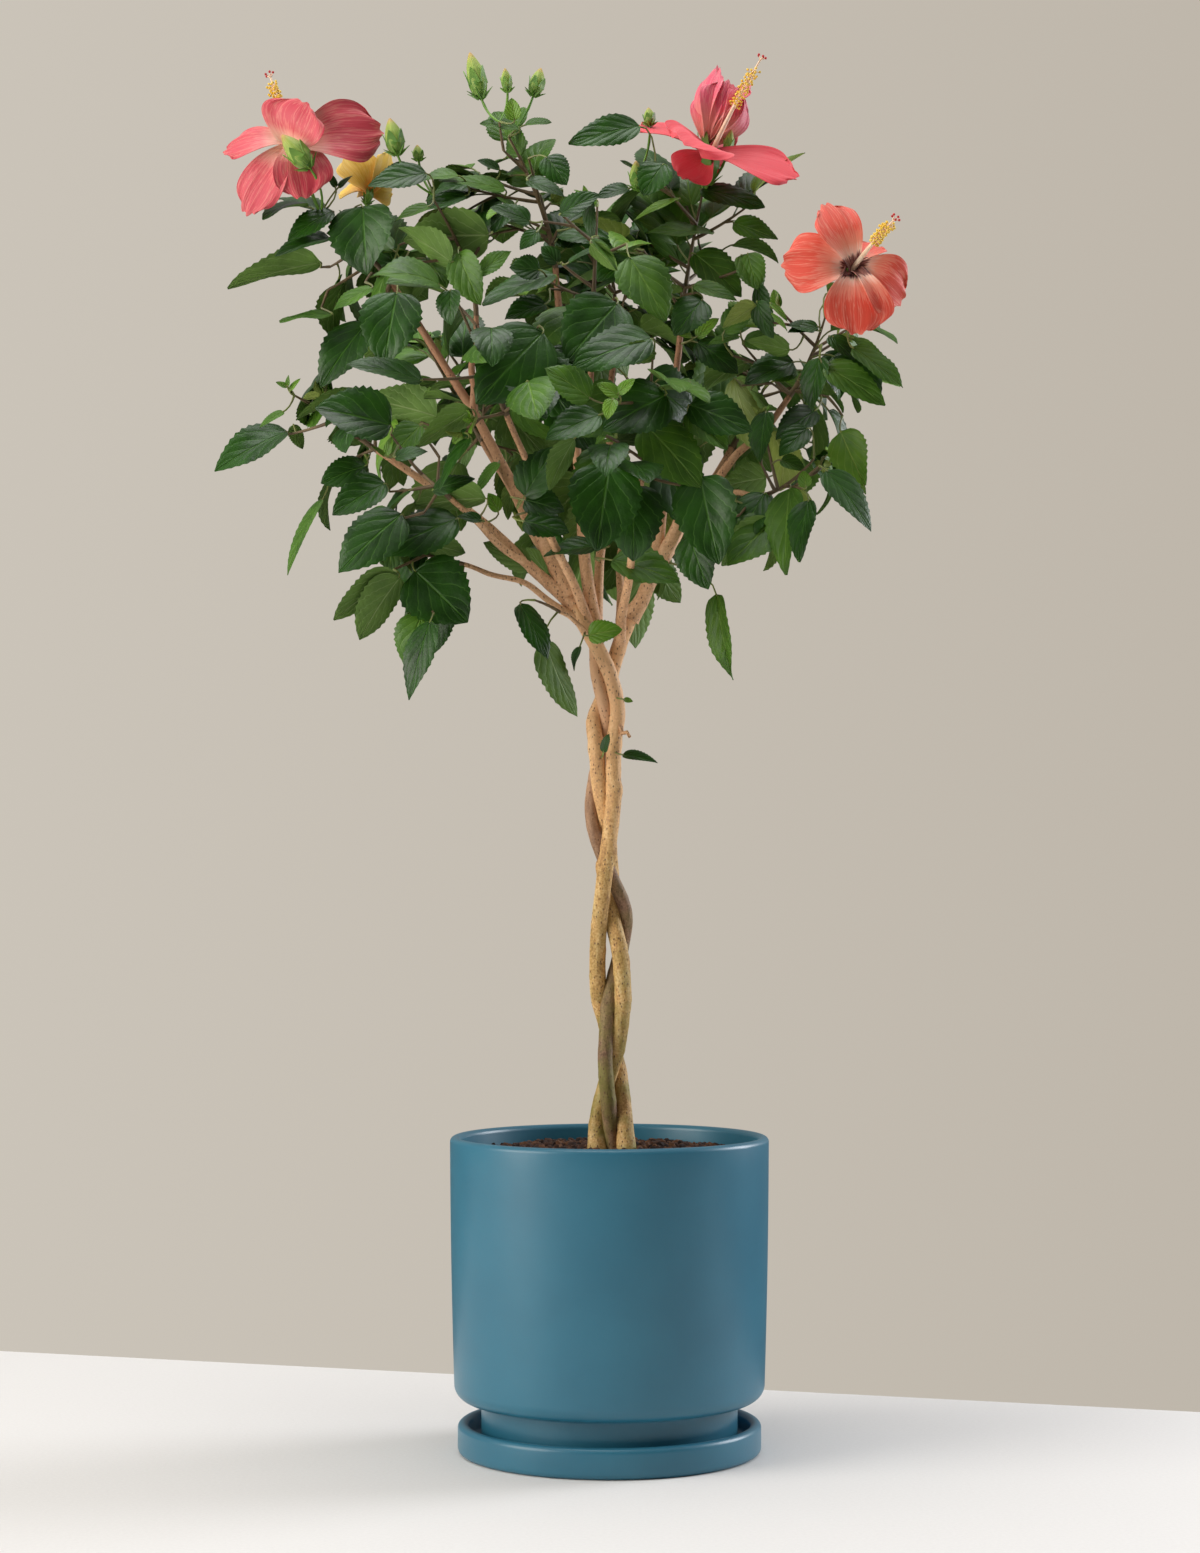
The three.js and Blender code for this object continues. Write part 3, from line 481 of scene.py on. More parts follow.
def makeSoil(bedMaterial, crumbMaterials):
    rings, turns = 46, 120
    radius = soil["edgeRadius"] * np.linspace(0, 1, rings)[1:, None]
    angle = np.arange(turns) * 2 * np.pi / turns
    x, y = radius * np.cos(angle), radius * np.sin(angle)
    top = np.stack([x, y, soilHeight(x, y)], axis=-1)[::-1]
    down = top[:1] * (soil["footShare"], soil["footShare"], 0) + (0, 0, soil["foot"])
    points = np.concatenate([down, top])
    ends = (soil["foot"], float(soilHeight(0.0, 0.0)))
    settle(putMesh("soilBed", [turned(points, ends)], [bedMaterial]), "soil", "soil")
    # Crumbs: short many-sided lumps, thickest in the middle, lying any way round.
    draw = np.random.default_rng(41)
    count = soil["crumbs"]
    out = soil["crumbReach"] * np.sqrt(draw.random(count))
    turn = draw.random(count) * 2 * np.pi
    size = mix(*soil["crumbMm"], draw.random(count) ** 2.6)
    x, y = out * np.cos(turn), out * np.sin(turn)
    keep = (out + size < soil["crumbEdge"]) & (np.hypot(x - 2, y) > soil["stemClear"])
    x, y, size, count = x[keep], y[keep], size[keep], int(keep.sum())
    middle = np.stack([x, y, soilHeight(x, y) + size * soil["crumbRise"]], axis=-1)
    way = unit(draw.normal(size=(count, 3)) * (1, 1, 0.4)) * size[:, None]
    paths = middle[:, None] + way[:, None] * np.linspace(-1, 1, 4)[:, None]
    rough = mix(*soil["crumbRough"], draw.random((count, 4, 6)))
    lumps = size[:, None, None] * np.array(soil["crumbShape"])[:, None] * rough
    for k, material in enumerate(crumbMaterials):
        mine = np.arange(count) % len(crumbMaterials) == k
        settle(putMesh(f"soilCrumbs{k + 1}", [tubes(paths[mine], lumps[mine], 6)], [material]), "soil")


# The braid: where each stem stands across and in depth at every stepMm above the soil, and its
# knots: height above the soil, degrees round it (0 right, -90 front) and how far each stands out.
stems = {
    "stem_left": {
        "radius": 6.9, "top": 731,
        "across": [14.5, 12.4, 8.8, 2.1, -6.8, -10.4, -9.9, -7, -3.1, 0.8, 3.1, 2.8, 4.4, 1.8, -7.9, -24.6,
                   -41],
        "depth": [-6, 1, 9, 9, 5, -2, -3, -7, -12, -8, -4, -3, -4, 2, -9, -6, -5],
        "knots": [(305, -20, 2.4), (267, -80, 1.0), (240, -165, 3.6), (250, -8, 2.6), (334, -120, 2.4),
                  (84, -60, 1.2), (150, 60, 2.0), (410, -70, 1.6)],
    },
    "stem_middle": {
        "radius": 6.2, "top": 694,
        "across": [2.8, -0.6, -2.6, -2.8, -2.6, 4, 13.6, 9.4, -2.4, -11.2, -15, -9.6, -1.4, -5.2, -10.6,
                   -12, -13],
        "depth": [4, -3, -8, -6, -4, 8, 7, 4, 4, 4, 9, 12, 8, -8, 3, 6, 7],
        "knots": [(205, -60, 1.6), (120, -150, 2.0), (60, -80, 1.4), (262, -130, 1.2), (390, -90, 1.2),
                  (180, 90, 2.2)],
    },
    "stem_right": {
        "radius": 7.1, "top": 706,
        "across": [-10.3, -9.6, -1.3, 8, 10.4, 10.8, 8, 4, 1, -3.5, -8, -10.7, -9.8, -1, 5, 16.5, 30],
        "depth": [1, 5, 2, -3, -3, -6, -5, 8, 13, 8, -2, -4, -1, 14, 6, 1, -1],
        "knots": [(204, -100, 1.8), (191, -70, 1.5), (296, -95, 1.4), (121, -40, 1.6), (160, -10, 1.2),
                  (340, -170, 1.4), (30, -120, 1.4), (230, 80, 2.4)],
    },
}
braid = {"bottom": 255.3, "sink": 6.0, "flare": 1.6, "flareHeight": 22, "sides": 36, "taper": 0.92,
         "taperHeight": 450, "pressed": 0.89}
weave = {"stepMm": 30, "sampleMm": 2.5, "near": 6, "passes": 260, "smoothed": 200, "ease": (0.25, 0.5)}


def throughPoints(values, count):
    # A smooth run through evenly spaced values: Catmull-Rom pieces, each weighted by its four neighbours.
    values = np.asarray(values, float)
    padded = np.concatenate([2 * values[:1] - values[1:2], values, 2 * values[-1:] - values[-2:-1]])
    place = np.linspace(0, len(values) - 1, count)
    i = np.minimum(place.astype(int), len(values) - 2)
    t = place - i
    a, b, c, d = padded[i], padded[i + 1], padded[i + 2], padded[i + 3]
    bend, turn = 2 * a - 5 * b + 4 * c - d, 3 * b - a - 3 * c + d
    return b + t * (c - a) / 2 + t ** 2 * bend / 2 + t ** 3 * turn / 2


def braidLines():
    # Middle lines of the stems, eased apart in passes until they are only pressed together, then smoothed.
    length = (len(stems["stem_left"]["across"]) - 1) * weave["stepMm"]
    count = int(length / weave["sampleMm"]) + 1
    height = np.linspace(0, length, count)
    lines = [np.stack([throughPoints(stem[key], count) for key in ("across", "depth")], axis=1)
             for stem in stems.values()]
    radii = [stem["radius"] for stem in stems.values()]
    for step in range(weave["passes"]):
        for i, j in ((0, 1), (0, 2), (1, 2)):
            needed = braid["pressed"] * (radii[i] + radii[j])
            for shift in range(-weave["near"], weave["near"] + 1):
                a = lines[i][max(0, -shift):count - max(0, shift)]
                b = lines[j][max(0, shift):count - max(0, -shift)]
                apart = a - b
                level = np.maximum(np.hypot(*apart.T), 0.01)
                push = np.clip(needed - np.hypot(level, shift * weave["sampleMm"]), 0, None) / 6
                depth = np.where(apart[:, 1] == 0, 0.01, apart[:, 1])
                move = push[:, None] * np.stack([0.35 * apart[:, 0] / level, depth / level], axis=1)
                a += move
                b -= move
        if step <= weave["smoothed"]:
            for line in lines:
                line[1:-1] += ((line[:-2] + line[2:]) / 2 - line[1:-1]) * weave["ease"]
    whole = {name: np.column_stack([line, height + braid["bottom"]]) for name, line in zip(stems, lines)}
    return {name: line[line[:, 2] <= stems[name]["top"]] for name, line in whole.items()}


# Boughs: the limb that each leaves, at what share of that limb's length, its tip, how far its middle is
# lifted, and its radii at root and tip.
boughs = {
    "bough_left_low": ("stem_left", 0.97, (-196, -14, 846), 8, (5.6, 2.6)),
    "bough_left_high": ("stem_left", 0.985, (-184, -4, 988), 12, (6.0, 2.6)),
    "bough_left_top": ("bough_left_high", 0.55, (-112, -22, 958), -4, (3.4, 2.2)),
    "bough_left_under": ("stem_left", 0.94, (-122, -30, 748), 6, (3.2, 1.9)),
    "bough_left_inner": ("bough_left_low", 0.12, (-132, -54, 800), -2, (3.6, 2.2)),
    "bough_fork": ("stem_left", 0.9, (-42, -34, 708), 4, (2.2, 1.5)),
    "bough_trunk": ("stem_left", 0.76, (17, -20, 604), 0, (1.8, 1.3)),
    "bough_front_left": ("stem_middle", 0.98, (-84, -96, 862), 0, (4.6, 2.3)),
    "bough_top": ("stem_middle", 1, (-46, 8, 1004), -10, (6.0, 2.6)),
    "bough_front_high": ("bough_top", 0.25, (-14, -72, 940), 0, (3.8, 2.2)),
    "bough_back_left": ("stem_middle", 0.99, (-112, 112, 872), 0, (4.8, 2.4)),
    "bough_back_top": ("stem_middle", 0.99, (6, 100, 966), 0, (4.8, 2.4)),
    "bough_right": ("stem_right", 1, (64, -4, 800), -3, (6.6, 5.0)),
    "bough_front": ("stem_right", 0.95, (26, -104, 810), 0, (4.6, 2.3)),
    "bough_top_right": ("bough_right", 0.5, (62, 12, 964), -12, (5.2, 2.5)),
    "bough_right_high": ("bough_right", 1, (152, -10, 892), -6, (4.4, 2.4)),
    "bough_right_low": ("bough_right", 0.92, (120, -26, 806), 8, (3.9, 2.1)),
    "bough_back_right": ("bough_right", 0.3, (108, 108, 866), 0, (4.6, 2.4)),
    "bough_back": ("stem_right", 0.96, (10, 122, 806), 4, (4.2, 2.2)),
}
limbRelief = {"sides": 16, "ringMm": 4.0, "lump": 0.06, "lumpMm": 9, "scarMm": 22.0, "scarAt": 5,
              "scar": 0.07, "collar": 0.35, "collarMm": 14.0, "grain": 0.16, "grains": 7, "knotMm": 4.5,
              "knotTurn": 9, "dimple": 0.55, "crookMm": 2.6}


def lineLength(line):
    return float(np.linalg.norm(np.diff(line, axis=0), axis=1).sum())


def barkTube(line, radii, seed, collar=True, knots=()):
    # A limb's surface: its radius times lumps, a ring at each old leaf scar and a swelling at its root,
    # plus grain that winds round it and knots, each a bell over height and angle with a dimple in its middle.
    sides = limbRelief["sides"] if collar else braid["sides"]
    far = np.concatenate([[0], np.cumsum(np.linalg.norm(np.diff(line, axis=0), axis=1))])[:, None]
    angle = np.arange(sides) * 2 * np.pi / sides
    lumps = ripple(angle, far / limbRelief["lumpMm"], seed)
    fromScar = (far % limbRelief["scarMm"]) - limbRelief["scarAt"]
    scars = np.exp(-fromScar ** 2 / 5) * (0.6 + 0.4 * np.sin(angle + far / 7))
    swell = limbRelief["collar"] * np.exp(-far / limbRelief["collarMm"]) if collar else 0
    grown = radii[:, None] * (1 + limbRelief["lump"] * lumps + limbRelief["scar"] * scars + swell)
    grain = limbRelief["grain"] * np.sin(limbRelief["grains"] * angle + 0.5 * lumps + far / 11)
    grown = grown + grain * np.sin(far / 5 + 2 * lumps)
    for height, degrees, size in knots:
        away = ((line[:, 2:] - braid["bottom"] - height) / limbRelief["knotMm"]) ** 2
        away = away + (1 - np.cos(angle - math.radians(degrees))) * limbRelief["knotTurn"]
        grown = grown + size * (np.exp(-away) - limbRelief["dimple"] * np.exp(-4 * away))
    return tubes(line[None], grown[None], sides)


def growLimbs():
    # Every limb as its middle line and radii: the stems, then each bough from its parent.
    limbs = {}
    for name, line in braidLines().items():
        high = line[:, 2] - braid["bottom"]
        radius = stems[name]["radius"] * mix(1, braid["taper"], high / braid["taperHeight"])
        limbs[name] = {"line": line, "radii": radius + braid["flare"] * np.exp(-high / braid["flareHeight"])}
    for seed, (name, (parent, at, tip, bow, radii)) in enumerate(boughs.items(), 1):
        start = alongLine(limbs[parent]["line"], at)
        tip = np.array(tip, float)
        steps = max(8, int(np.linalg.norm(tip - start) / limbRelief["ringMm"]))
        line = bezier(start, (start + tip) / 2 + (0, 0, 2 * bow), tip, steps)
        share = np.linspace(0, 1, steps + 1)[:, None]
        way = unit(tip - start)
        # A limb is a little crooked: it leans one way and the other between its ends.
        lean = np.sin(np.pi * share * 3) * np.sin(np.pi * share) * limbRelief["crookMm"]
        line = line + lean * sideOf(way, seed * 2.4)
        line = line + 0.6 * lean * np.cos(5 * share) * sideOf(way, seed * 2.4 + 1.57)
        limbs[name] = {"line": line, "radii": mix(*radii, share[:, 0] ** 0.8)}
    return limbs


def makeLimbs(limbs, tan, brown, young):
    def stemPart(name, seed):
        line, radii = limbs[name]["line"], limbs[name]["radii"]
        low = line[:1] - (0, 0, braid["sink"])
        return barkTube(np.concatenate([low, line]), np.concatenate([radii[:1] + 0.4, radii]), seed,
                        collar=False, knots=stems[name]["knots"])

    pale = putMesh("braidTan", [stemPart("stem_left", 5), stemPart("stem_right", 8)], [tan])
    settle(pale, "bark", "stem_left", "stem_right")
    settle(putMesh("braidBrown", [stemPart("stem_middle", 11)], [brown]), "bark", "stem_middle")
    grown = [barkTube(limbs[name]["line"], limbs[name]["radii"], seed)
             for seed, name in enumerate(boughs, 20)]
    settle(putMesh("boughsBark", grown, [young]), "bark", *boughs)


# Foliage: each mass fills its own round space from its bough's tip on. Its bough, the middle and half
# sizes of its space, the place that its stem runs towards, its side twigs, seed and size of leaves.
massKeys = ("bough", "middle", "half", "aim", "twigs", "seed", "leafSize")
masses = {
    "foliage_top": ("bough_top", (-80, -2, 1070), (96, 96, 92), (-92, -8, 1124), 12, 67, 0.72),
    "foliage_left_high": ("bough_left_high", (-218, 6, 992), (98, 102, 94), (-244, -10, 1046), 9, 23, 1),
    "foliage_left_top": ("bough_left_top", (-146, -44, 1014), (92, 88, 88), (-146, -52, 1048), 9, 62, 1),
    "foliage_top_right": ("bough_top_right", (66, -6, 1030), (118, 104, 98), (82, -8, 1080), 10, 101, 1),
    "foliage_right": ("bough_right_high", (160, -22, 926), (98, 96, 100), (182, -56, 962), 9, 113, 1),
    "foliage_left_low": ("bough_left_low", (-236, -28, 862), (90, 88, 86), (-262, -30, 898), 7, 11, 1),
    "foliage_front_high": ("bough_front_high", (-16, -112, 992), (104, 88, 96), (-10, -122, 1030), 8, 31, 1),
    "foliage_front_left":
        ("bough_front_left", (-108, -144, 902), (108, 90, 104), (-124, -142, 950), 9, 53, 1),
    "foliage_front": ("bough_front", (34, -144, 836), (112, 90, 112), (34, -152, 900), 9, 97, 1),
    "foliage_left_inner": ("bough_left_inner", (-140, -80, 806), (98, 88, 88), (-164, -88, 824), 7, 41, 1),
    "foliage_left_under": ("bough_left_under", (-160, -34, 722), (88, 76, 92), (-172, -44, 756), 5, 37, 1),
    "foliage_right_low": ("bough_right_low", (138, -40, 810), (98, 90, 94), (170, -46, 834), 8, 127, 1),
    "foliage_back_left": ("bough_back_left", (-128, 146, 910), (122, 108, 118), (-152, 166, 950), 9, 79, 1),
    "foliage_back_top": ("bough_back_top", (0, 124, 1010), (112, 104, 106), (-4, 146, 1052), 9, 83, 1),
    "foliage_back_right": ("bough_back_right", (126, 138, 906), (112, 106, 118), (150, 158, 946), 9, 131, 1),
    "foliage_back": ("bough_back", (0, 150, 828), (108, 92, 98), (-2, 176, 852), 8, 149, 1),
    "foliage_fork": ("bough_fork", (-54, -42, 680), (58, 52, 72), (-62, -50, 716), 3, 7, 0.7),
    "foliage_trunk": ("bough_trunk", (28, -28, 600), (48, 44, 52), (24, -28, 618), 0, 19, 0.55),
}
masses = {name: dict(zip(massKeys, row)) for name, row in masses.items()}

# Growth: shares and turns without a unit, all else in millimetres. No leaf ahead of oldFront is young,
# overShown and overLimb are how clear of a leaf or limb that must show the others stay in view.
growth = {"goldenTurn": math.radians(137.5), "heart": np.array([-20.0, 0, 850]), "droop": (0.3, 1.4),
          "light": np.array([-0.1, -0.5, 0.85]), "reach": (0.42, 0.6), "edge": 1.15, "tries": 7,
          "tryTurn": 1.1, "looseTurn": 1.2, "spacing": 12.0, "firstLeaf": (0.35, 0.3, 0.45), "twigBack": 0.25,
          "twigRadii": (1.6, 0.9), "shootRadii": (1.3, 0.9), "shootAt": 0.6, "shootMm": (22, 36),
          "shootLeaf": 0.86, "apart": 14.0, "fromLimb": 3, "fromTwig": 4, "skyEdge": 2.0, "oldFront": -120.0,
          "oldBelow": 780, "youngShare": 0.3, "darkShare": 0.6, "overShown": 15.0, "overLimb": 8.0,
          "shownBend": 0.3}
leaf = {"length": (48, 80), "widthShare": 0.77, "stalk": (12, 26), "rows": 23, "teeth": 0.05, "ribMm": 0.9,
        "bend": (0.25, 1.15), "fold": (0.02, 0.34), "broad": (0.85, 1.08), "wave": 0.05, "twist": 0.9,
        "stalkRadii": (1.15, 0.85, 0.75, 0.75, 0.8), "outline": (0.48, 0.86), "teethFrom": 0.15}
# How a leaf hangs: how much the directions round and along its twig, out of the crown, along its own
# stalk, at random and towards the light count for its stalk, its blade and the way its face looks.
hang = {"stalk": {"around": 1.1, "ahead": 0.9, "out": 0.3}, "blade": {"stalk": 0.8, "out": 0.4},
        "face": {"loose": 1.3, "light": 0.9, "out": 0.7}, "tipwards": 0.6, "upheld": 0.6,
        "smaller": (1.05, 0.85)}


def twigsOf(mass, limbs, draw):
    # The mass's stem from its bough's tip towards aim, side twigs whose tips lie evenly round the
    # middle of its space, and a short shoot that leaves each side twig at half a right angle.
    limb = limbs[mass["bough"]]
    start, end = limb["line"][-1], np.array(mass["aim"], float)
    ahead = unit(start - limb["line"][-6])
    stem = bezier(start - ahead, start + ahead * 0.4 * np.linalg.norm(end - start), end, 12)
    found = [{"line": stem, "radii": (limb["radii"][-1], growth["twigRadii"][1]), "level": 0}]
    middle, half = np.array(mass["middle"], float), np.array(mass["half"], float)
    turnFrom = next(draw) * math.pi * 2
    for i in range(mass["twigs"]):
        rise = 1 - 2 * (i + 0.5) / mass["twigs"]
        turn = turnFrom + i * growth["goldenTurn"]
        level = math.sqrt(1 - rise * rise)
        out = np.array([level * math.cos(turn), level * math.sin(turn), rise])
        tip = middle + half * mix(*growth["reach"], next(draw)) * out
        nearest = min(np.arange(20) / 20, key=lambda share: np.linalg.norm(alongLine(stem, share) - tip))
        at = max(0.04, nearest - growth["twigBack"])
        root = alongLine(stem, at)
        bow = (root + tip) / 2 + sideOf(unit(tip - root), turn) * 0.05 * np.linalg.norm(tip - root)
        found.append({"line": bezier(root, bow, tip, 6), "radii": growth["twigRadii"], "level": 1,
                      "parent": found[0], "at": at})
    more = seeded(mass["seed"] + 500)
    for twig in found[1:]:
        root = alongLine(twig["line"], growth["shootAt"])
        along = unit(twig["line"][-1] - twig["line"][0])
        way = unit(along + sideOf(along, next(more) * 6.28) + (0, 0, 0.25))
        tip = root + way * mix(*growth["shootMm"], next(more))
        shoot = bezier(root, (root + tip) / 2 + along * 2, tip, 4)
        found.append({"line": shoot, "radii": growth["shootRadii"], "level": 2, "parent": twig,
                      "at": growth["shootAt"]})
    return found


def leafPlace(root, ahead, share, turn, droop, reach, tilt, size, scale):
    # One leaf: its stalk turns round the twig and leans outwards, and its blade hangs and faces the light.
    around = sideOf(ahead, turn)
    away = unit(root - growth["heart"])
    sag = mix(*growth["droop"], droop) * (1 - hang["upheld"] * max(0.0, away[2]))
    stalk, blade, face = hang["stalk"], hang["blade"], hang["face"]
    level = around * (stalk["around"] - hang["tipwards"] * share)
    stalkWay = unit(level + ahead * stalk["ahead"] * share + away * stalk["out"])
    base = root + stalkWay * scale * mix(*leaf["stalk"], reach)
    axis = unit(stalkWay * blade["stalk"] + away * blade["out"] - np.array([0, 0, sag]))
    toward = np.array(tilt) * face["loose"] + growth["light"] * face["light"] + away * face["out"]
    normal = squared(toward, axis)
    length = scale * mix(*leaf["length"], size) * mix(*hang["smaller"], share)
    return {"root": root, "base": base, "axis": axis, "normal": normal, "length": length}


# Leaves that stand out from the front, by colour: across and height of the blade's foot and of its tip,
# as seen at the trunk's distance, how far it is rolled from facing the front, and its breadth.
shownLeaves = {
    "dark": [
        (-209, 1055, -205, 996, 10, 0.92), (-234, 1051, -273, 1026, 40, 0.6),
        (-237, 1028, -284, 1012, 50, 0.6), (-180, 982, -191, 920, 10, 0.8), (-205, 957, -245, 901, 35, 0.6),
        (-159, 907, -223, 921, 50, 0.55), (-185, 869, -250, 884, 20, 0.75),
        (-273, 864, -335, 830, 42, 0.52), (-182, 842, -154, 847, 40, 0.6), (-206, 835, -245, 820, 30, 0.7),
        (-190, 820, -235, 793, 25, 0.65), (-129, 790, -192, 760, 30, 0.6), (-176, 794, -230, 744, 20, 0.65),
        (-165, 746, -120, 702, 5, 0.92), (-152, 703, -170, 636, 25, 0.42), (-76, 718, -52, 670, 40, 0.5),
        (-25, 682, -30, 661, 50, 0.6), (-150, 814, -114, 824, 40, 0.6), (-119, 859, -144, 814, 60, 0.6),
        (0, 835, -11, 762, 5, 0.8), (-72, 809, -45, 851, 20, 0.7), (-73, 788, -34, 778, 30, 0.75),
        (-12, 767, -56, 758, 45, 0.65), (-56, 948, -113, 887, 10, 0.72), (7, 973, -37, 922, 10, 0.85),
        (36, 943, -32, 918, 35, 0.6), (-8, 878, -54, 857, 30, 0.65), (48, 895, -6, 865, 15, 0.85),
        (74, 940, 109, 913, 25, 0.65), (-59, 1001, -85, 1003, 10, 0.85), (-46, 997, -108, 971, 55, 0.6),
        (-135, 984, -134, 954, 20, 0.75), (174, 950, 151, 954, 40, 0.7), (186, 945, 208, 925, 35, 0.65),
        (178, 927, 172, 881, 35, 0.6), (133, 881, 128, 837, 40, 0.6), (175, 882, 141, 857, 30, 0.7),
        (184, 831, 222, 779, 35, 0.6), (132, 812, 106, 764, 35, 0.6), (77, 826, 93, 751, 15, 0.68),
        (68, 776, 84, 730, 25, 0.7), (26, 1123, -35, 1108, 24, 0.45), (11, 590, 41, 583, 55, 0.6),
        (-5, 592, 0, 608, 40, 0.6), (-70, 1077, -38, 1063, 40, 0.6), (-93, 1086, -112, 1094, 50, 0.6),
        (-169, 1090, -201, 1069, 45, 0.6), (77, 1069, 132, 1054, 50, 0.55), (-42, 1048, -8, 1065, 40, 0.6),
        (79, 976, 55, 945, 20, 0.85), (125, 974, 139, 943, 40, 0.6), (156, 923, 114, 903, 22, 0.65),
        (168, 867, 144, 843, 20, 0.65), (133, 825, 96, 817, 150, 0.8), (169, 806, 161, 753, 40, 0.5),
        (68, 887, 121, 864, 12, 0.62), (-108, 789, -129, 792, 30, 0.5), (-54, 972, -89, 959, 35, 0.7),
        (-44, 1007, -58, 1021, 10, 0.8), (-61, 1034, -76, 1018, 15, 0.7), (-35, 1007, -5, 1021, 60, 0.5),
        (-54, 1097, -36, 1073, 20, 0.8), (-121, 1064, -160, 1050, 40, 0.55),
        (-67, 1042, -101, 1054, 30, 0.6), (-232, 1071, -239, 1084, 30, 0.5),
        (-230, 1071, -218, 1081, 30, 0.5), (46, 1091, 28, 1064, 25, 0.9), (27, 1083, 9, 1094, 60, 0.5),
        (17, 1070, -11, 1062, 45, 0.6), (-17, 1062, -13, 1026, 50, 0.4), (125, 989, 139, 952, 55, 0.5),
        (177, 953, 151, 948, 30, 0.55), (189, 945, 206, 925, 20, 0.65), (-155, 1083, -205, 1072, 25, 0.5),
        (-72, 806, -38, 796, 20, 0.8),
    ],
    "mid": [
        (105, 1041, 143, 1027, 15, 0.55), (-245, 1008, -324, 985, 115, 0.5),
        (-201, 986, -235, 966, 50, 0.6), (-235, 963, -280, 957, 65, 0.6),
        (-102, 1031, -175, 1026, 140, 0.65), (-134, 1008, -179, 1037, 135, 0.6),
        (-146, 877, -207, 892, 150, 0.6), (-276, 881, -297, 867, 50, 0.6), (-268, 870, -260, 849, 150, 0.6),
        (-117, 883, -162, 851, 130, 0.6), (-178, 741, -212, 687, 130, 0.6),
        (-180, 744, -234, 704, 135, 0.55), (-55, 686, -27, 622, 140, 0.5), (-155, 768, -122, 761, 140, 0.7),
        (-105, 808, -169, 799, 120, 0.6), (2, 755, 60, 736, 40, 0.62), (39, 931, -8, 919, 130, 0.6),
        (-16, 892, -55, 918, 20, 0.7), (30, 870, 78, 816, 15, 0.65), (68, 882, 100, 848, 15, 0.7),
        (17, 1012, 48, 957, 15, 0.72), (72, 1015, 112, 978, 22, 0.6), (88, 1032, 30, 1032, 62, 0.6),
        (-16, 1023, 7, 1000, 130, 0.6), (-112, 997, -83, 1017, 40, 0.6), (-30, 858, -51, 814, 120, 0.6),
        (112, 1014, 129, 984, 25, 0.75), (153, 933, 116, 941, 130, 0.6), (206, 935, 249, 901, 42, 0.5),
        (182, 920, 234, 886, 25, 0.45), (159, 916, 136, 908, 30, 0.7), (153, 816, 150, 742, 40, 0.55),
        (140, 789, 100, 750, 20, 0.75), (91, 726, 105, 653, 40, 0.36), (-76, 1120, -110, 1125, 60, 0.6),
        (-72, 1124, -49, 1126, 60, 0.6), (-128, 1081, -161, 1076, 50, 0.6),
        (-243, 807, -273, 742, 60, 0.33), (71, 988, 108, 975, 35, 0.45), (110, 945, 82, 937, 40, 0.45),
        (145, 840, 166, 831, 30, 0.7), (-160, 869, -184, 842, 30, 0.8), (-94, 838, -112, 812, 50, 0.5),
        (-128, 1016, -109, 971, 25, 0.6), (26, 738, 22, 680, 150, 0.62), (-88, 1069, -145, 1077, 45, 0.45),
        (-153, 1055, -182, 1042, 35, 0.5), (138, 789, 95, 750, 135, 0.6), (-15, 1028, 6, 1001, 40, 0.35),
        (117, 1015, 126, 984, 20, 0.75), (97, 949, 125, 972, 20, 0.65), (114, 941, 153, 938, 30, 0.55),
        (-68, 748, -107, 770, 150, 0.5), (-52, 742, -71, 766, 150, 0.6), (-82, 820, -86, 789, 150, 0.5),
    ],
    "young": [
        (-18, 691, 11, 696, 20, 0.72), (3, 892, -2, 874, 20, 0.7), (9, 894, -11, 905, 30, 0.6),
        (7, 896, 22, 909, 30, 0.6), (125, 971, 96, 952, 130, 0.7), (105, 909, 129, 844, 130, 0.6),
        (196, 864, 217, 818, 20, 0.68), (136, 965, 151, 949, 55, 0.4), (74, 944, 93, 960, 25, 0.55),
        (70, 945, 52, 950, 30, 0.5), (167, 817, 164, 831, 30, 0.85), (-190, 843, -202, 852, 40, 0.4),
        (-189, 843, -184, 860, 30, 0.45), (-94, 796, -103, 812, 30, 0.7), (-273, 902, -283, 906, 20, 0.5),
        (-273, 902, -272, 912, 20, 0.45), (-271, 899, -262, 909, 30, 0.45), (-11, 1055, -30, 1069, 40, 0.5),
        (-17, 1058, -22, 1073, 30, 0.4), (60, 1062, 21, 1043, 60, 0.35), (136, 973, 151, 957, 40, 0.35),
        (159, 908, 138, 915, 20, 0.6), (-80, 1128, -83, 1147, 20, 0.75), (12, 637, 20, 635, 30, 0.6),
    ],
}
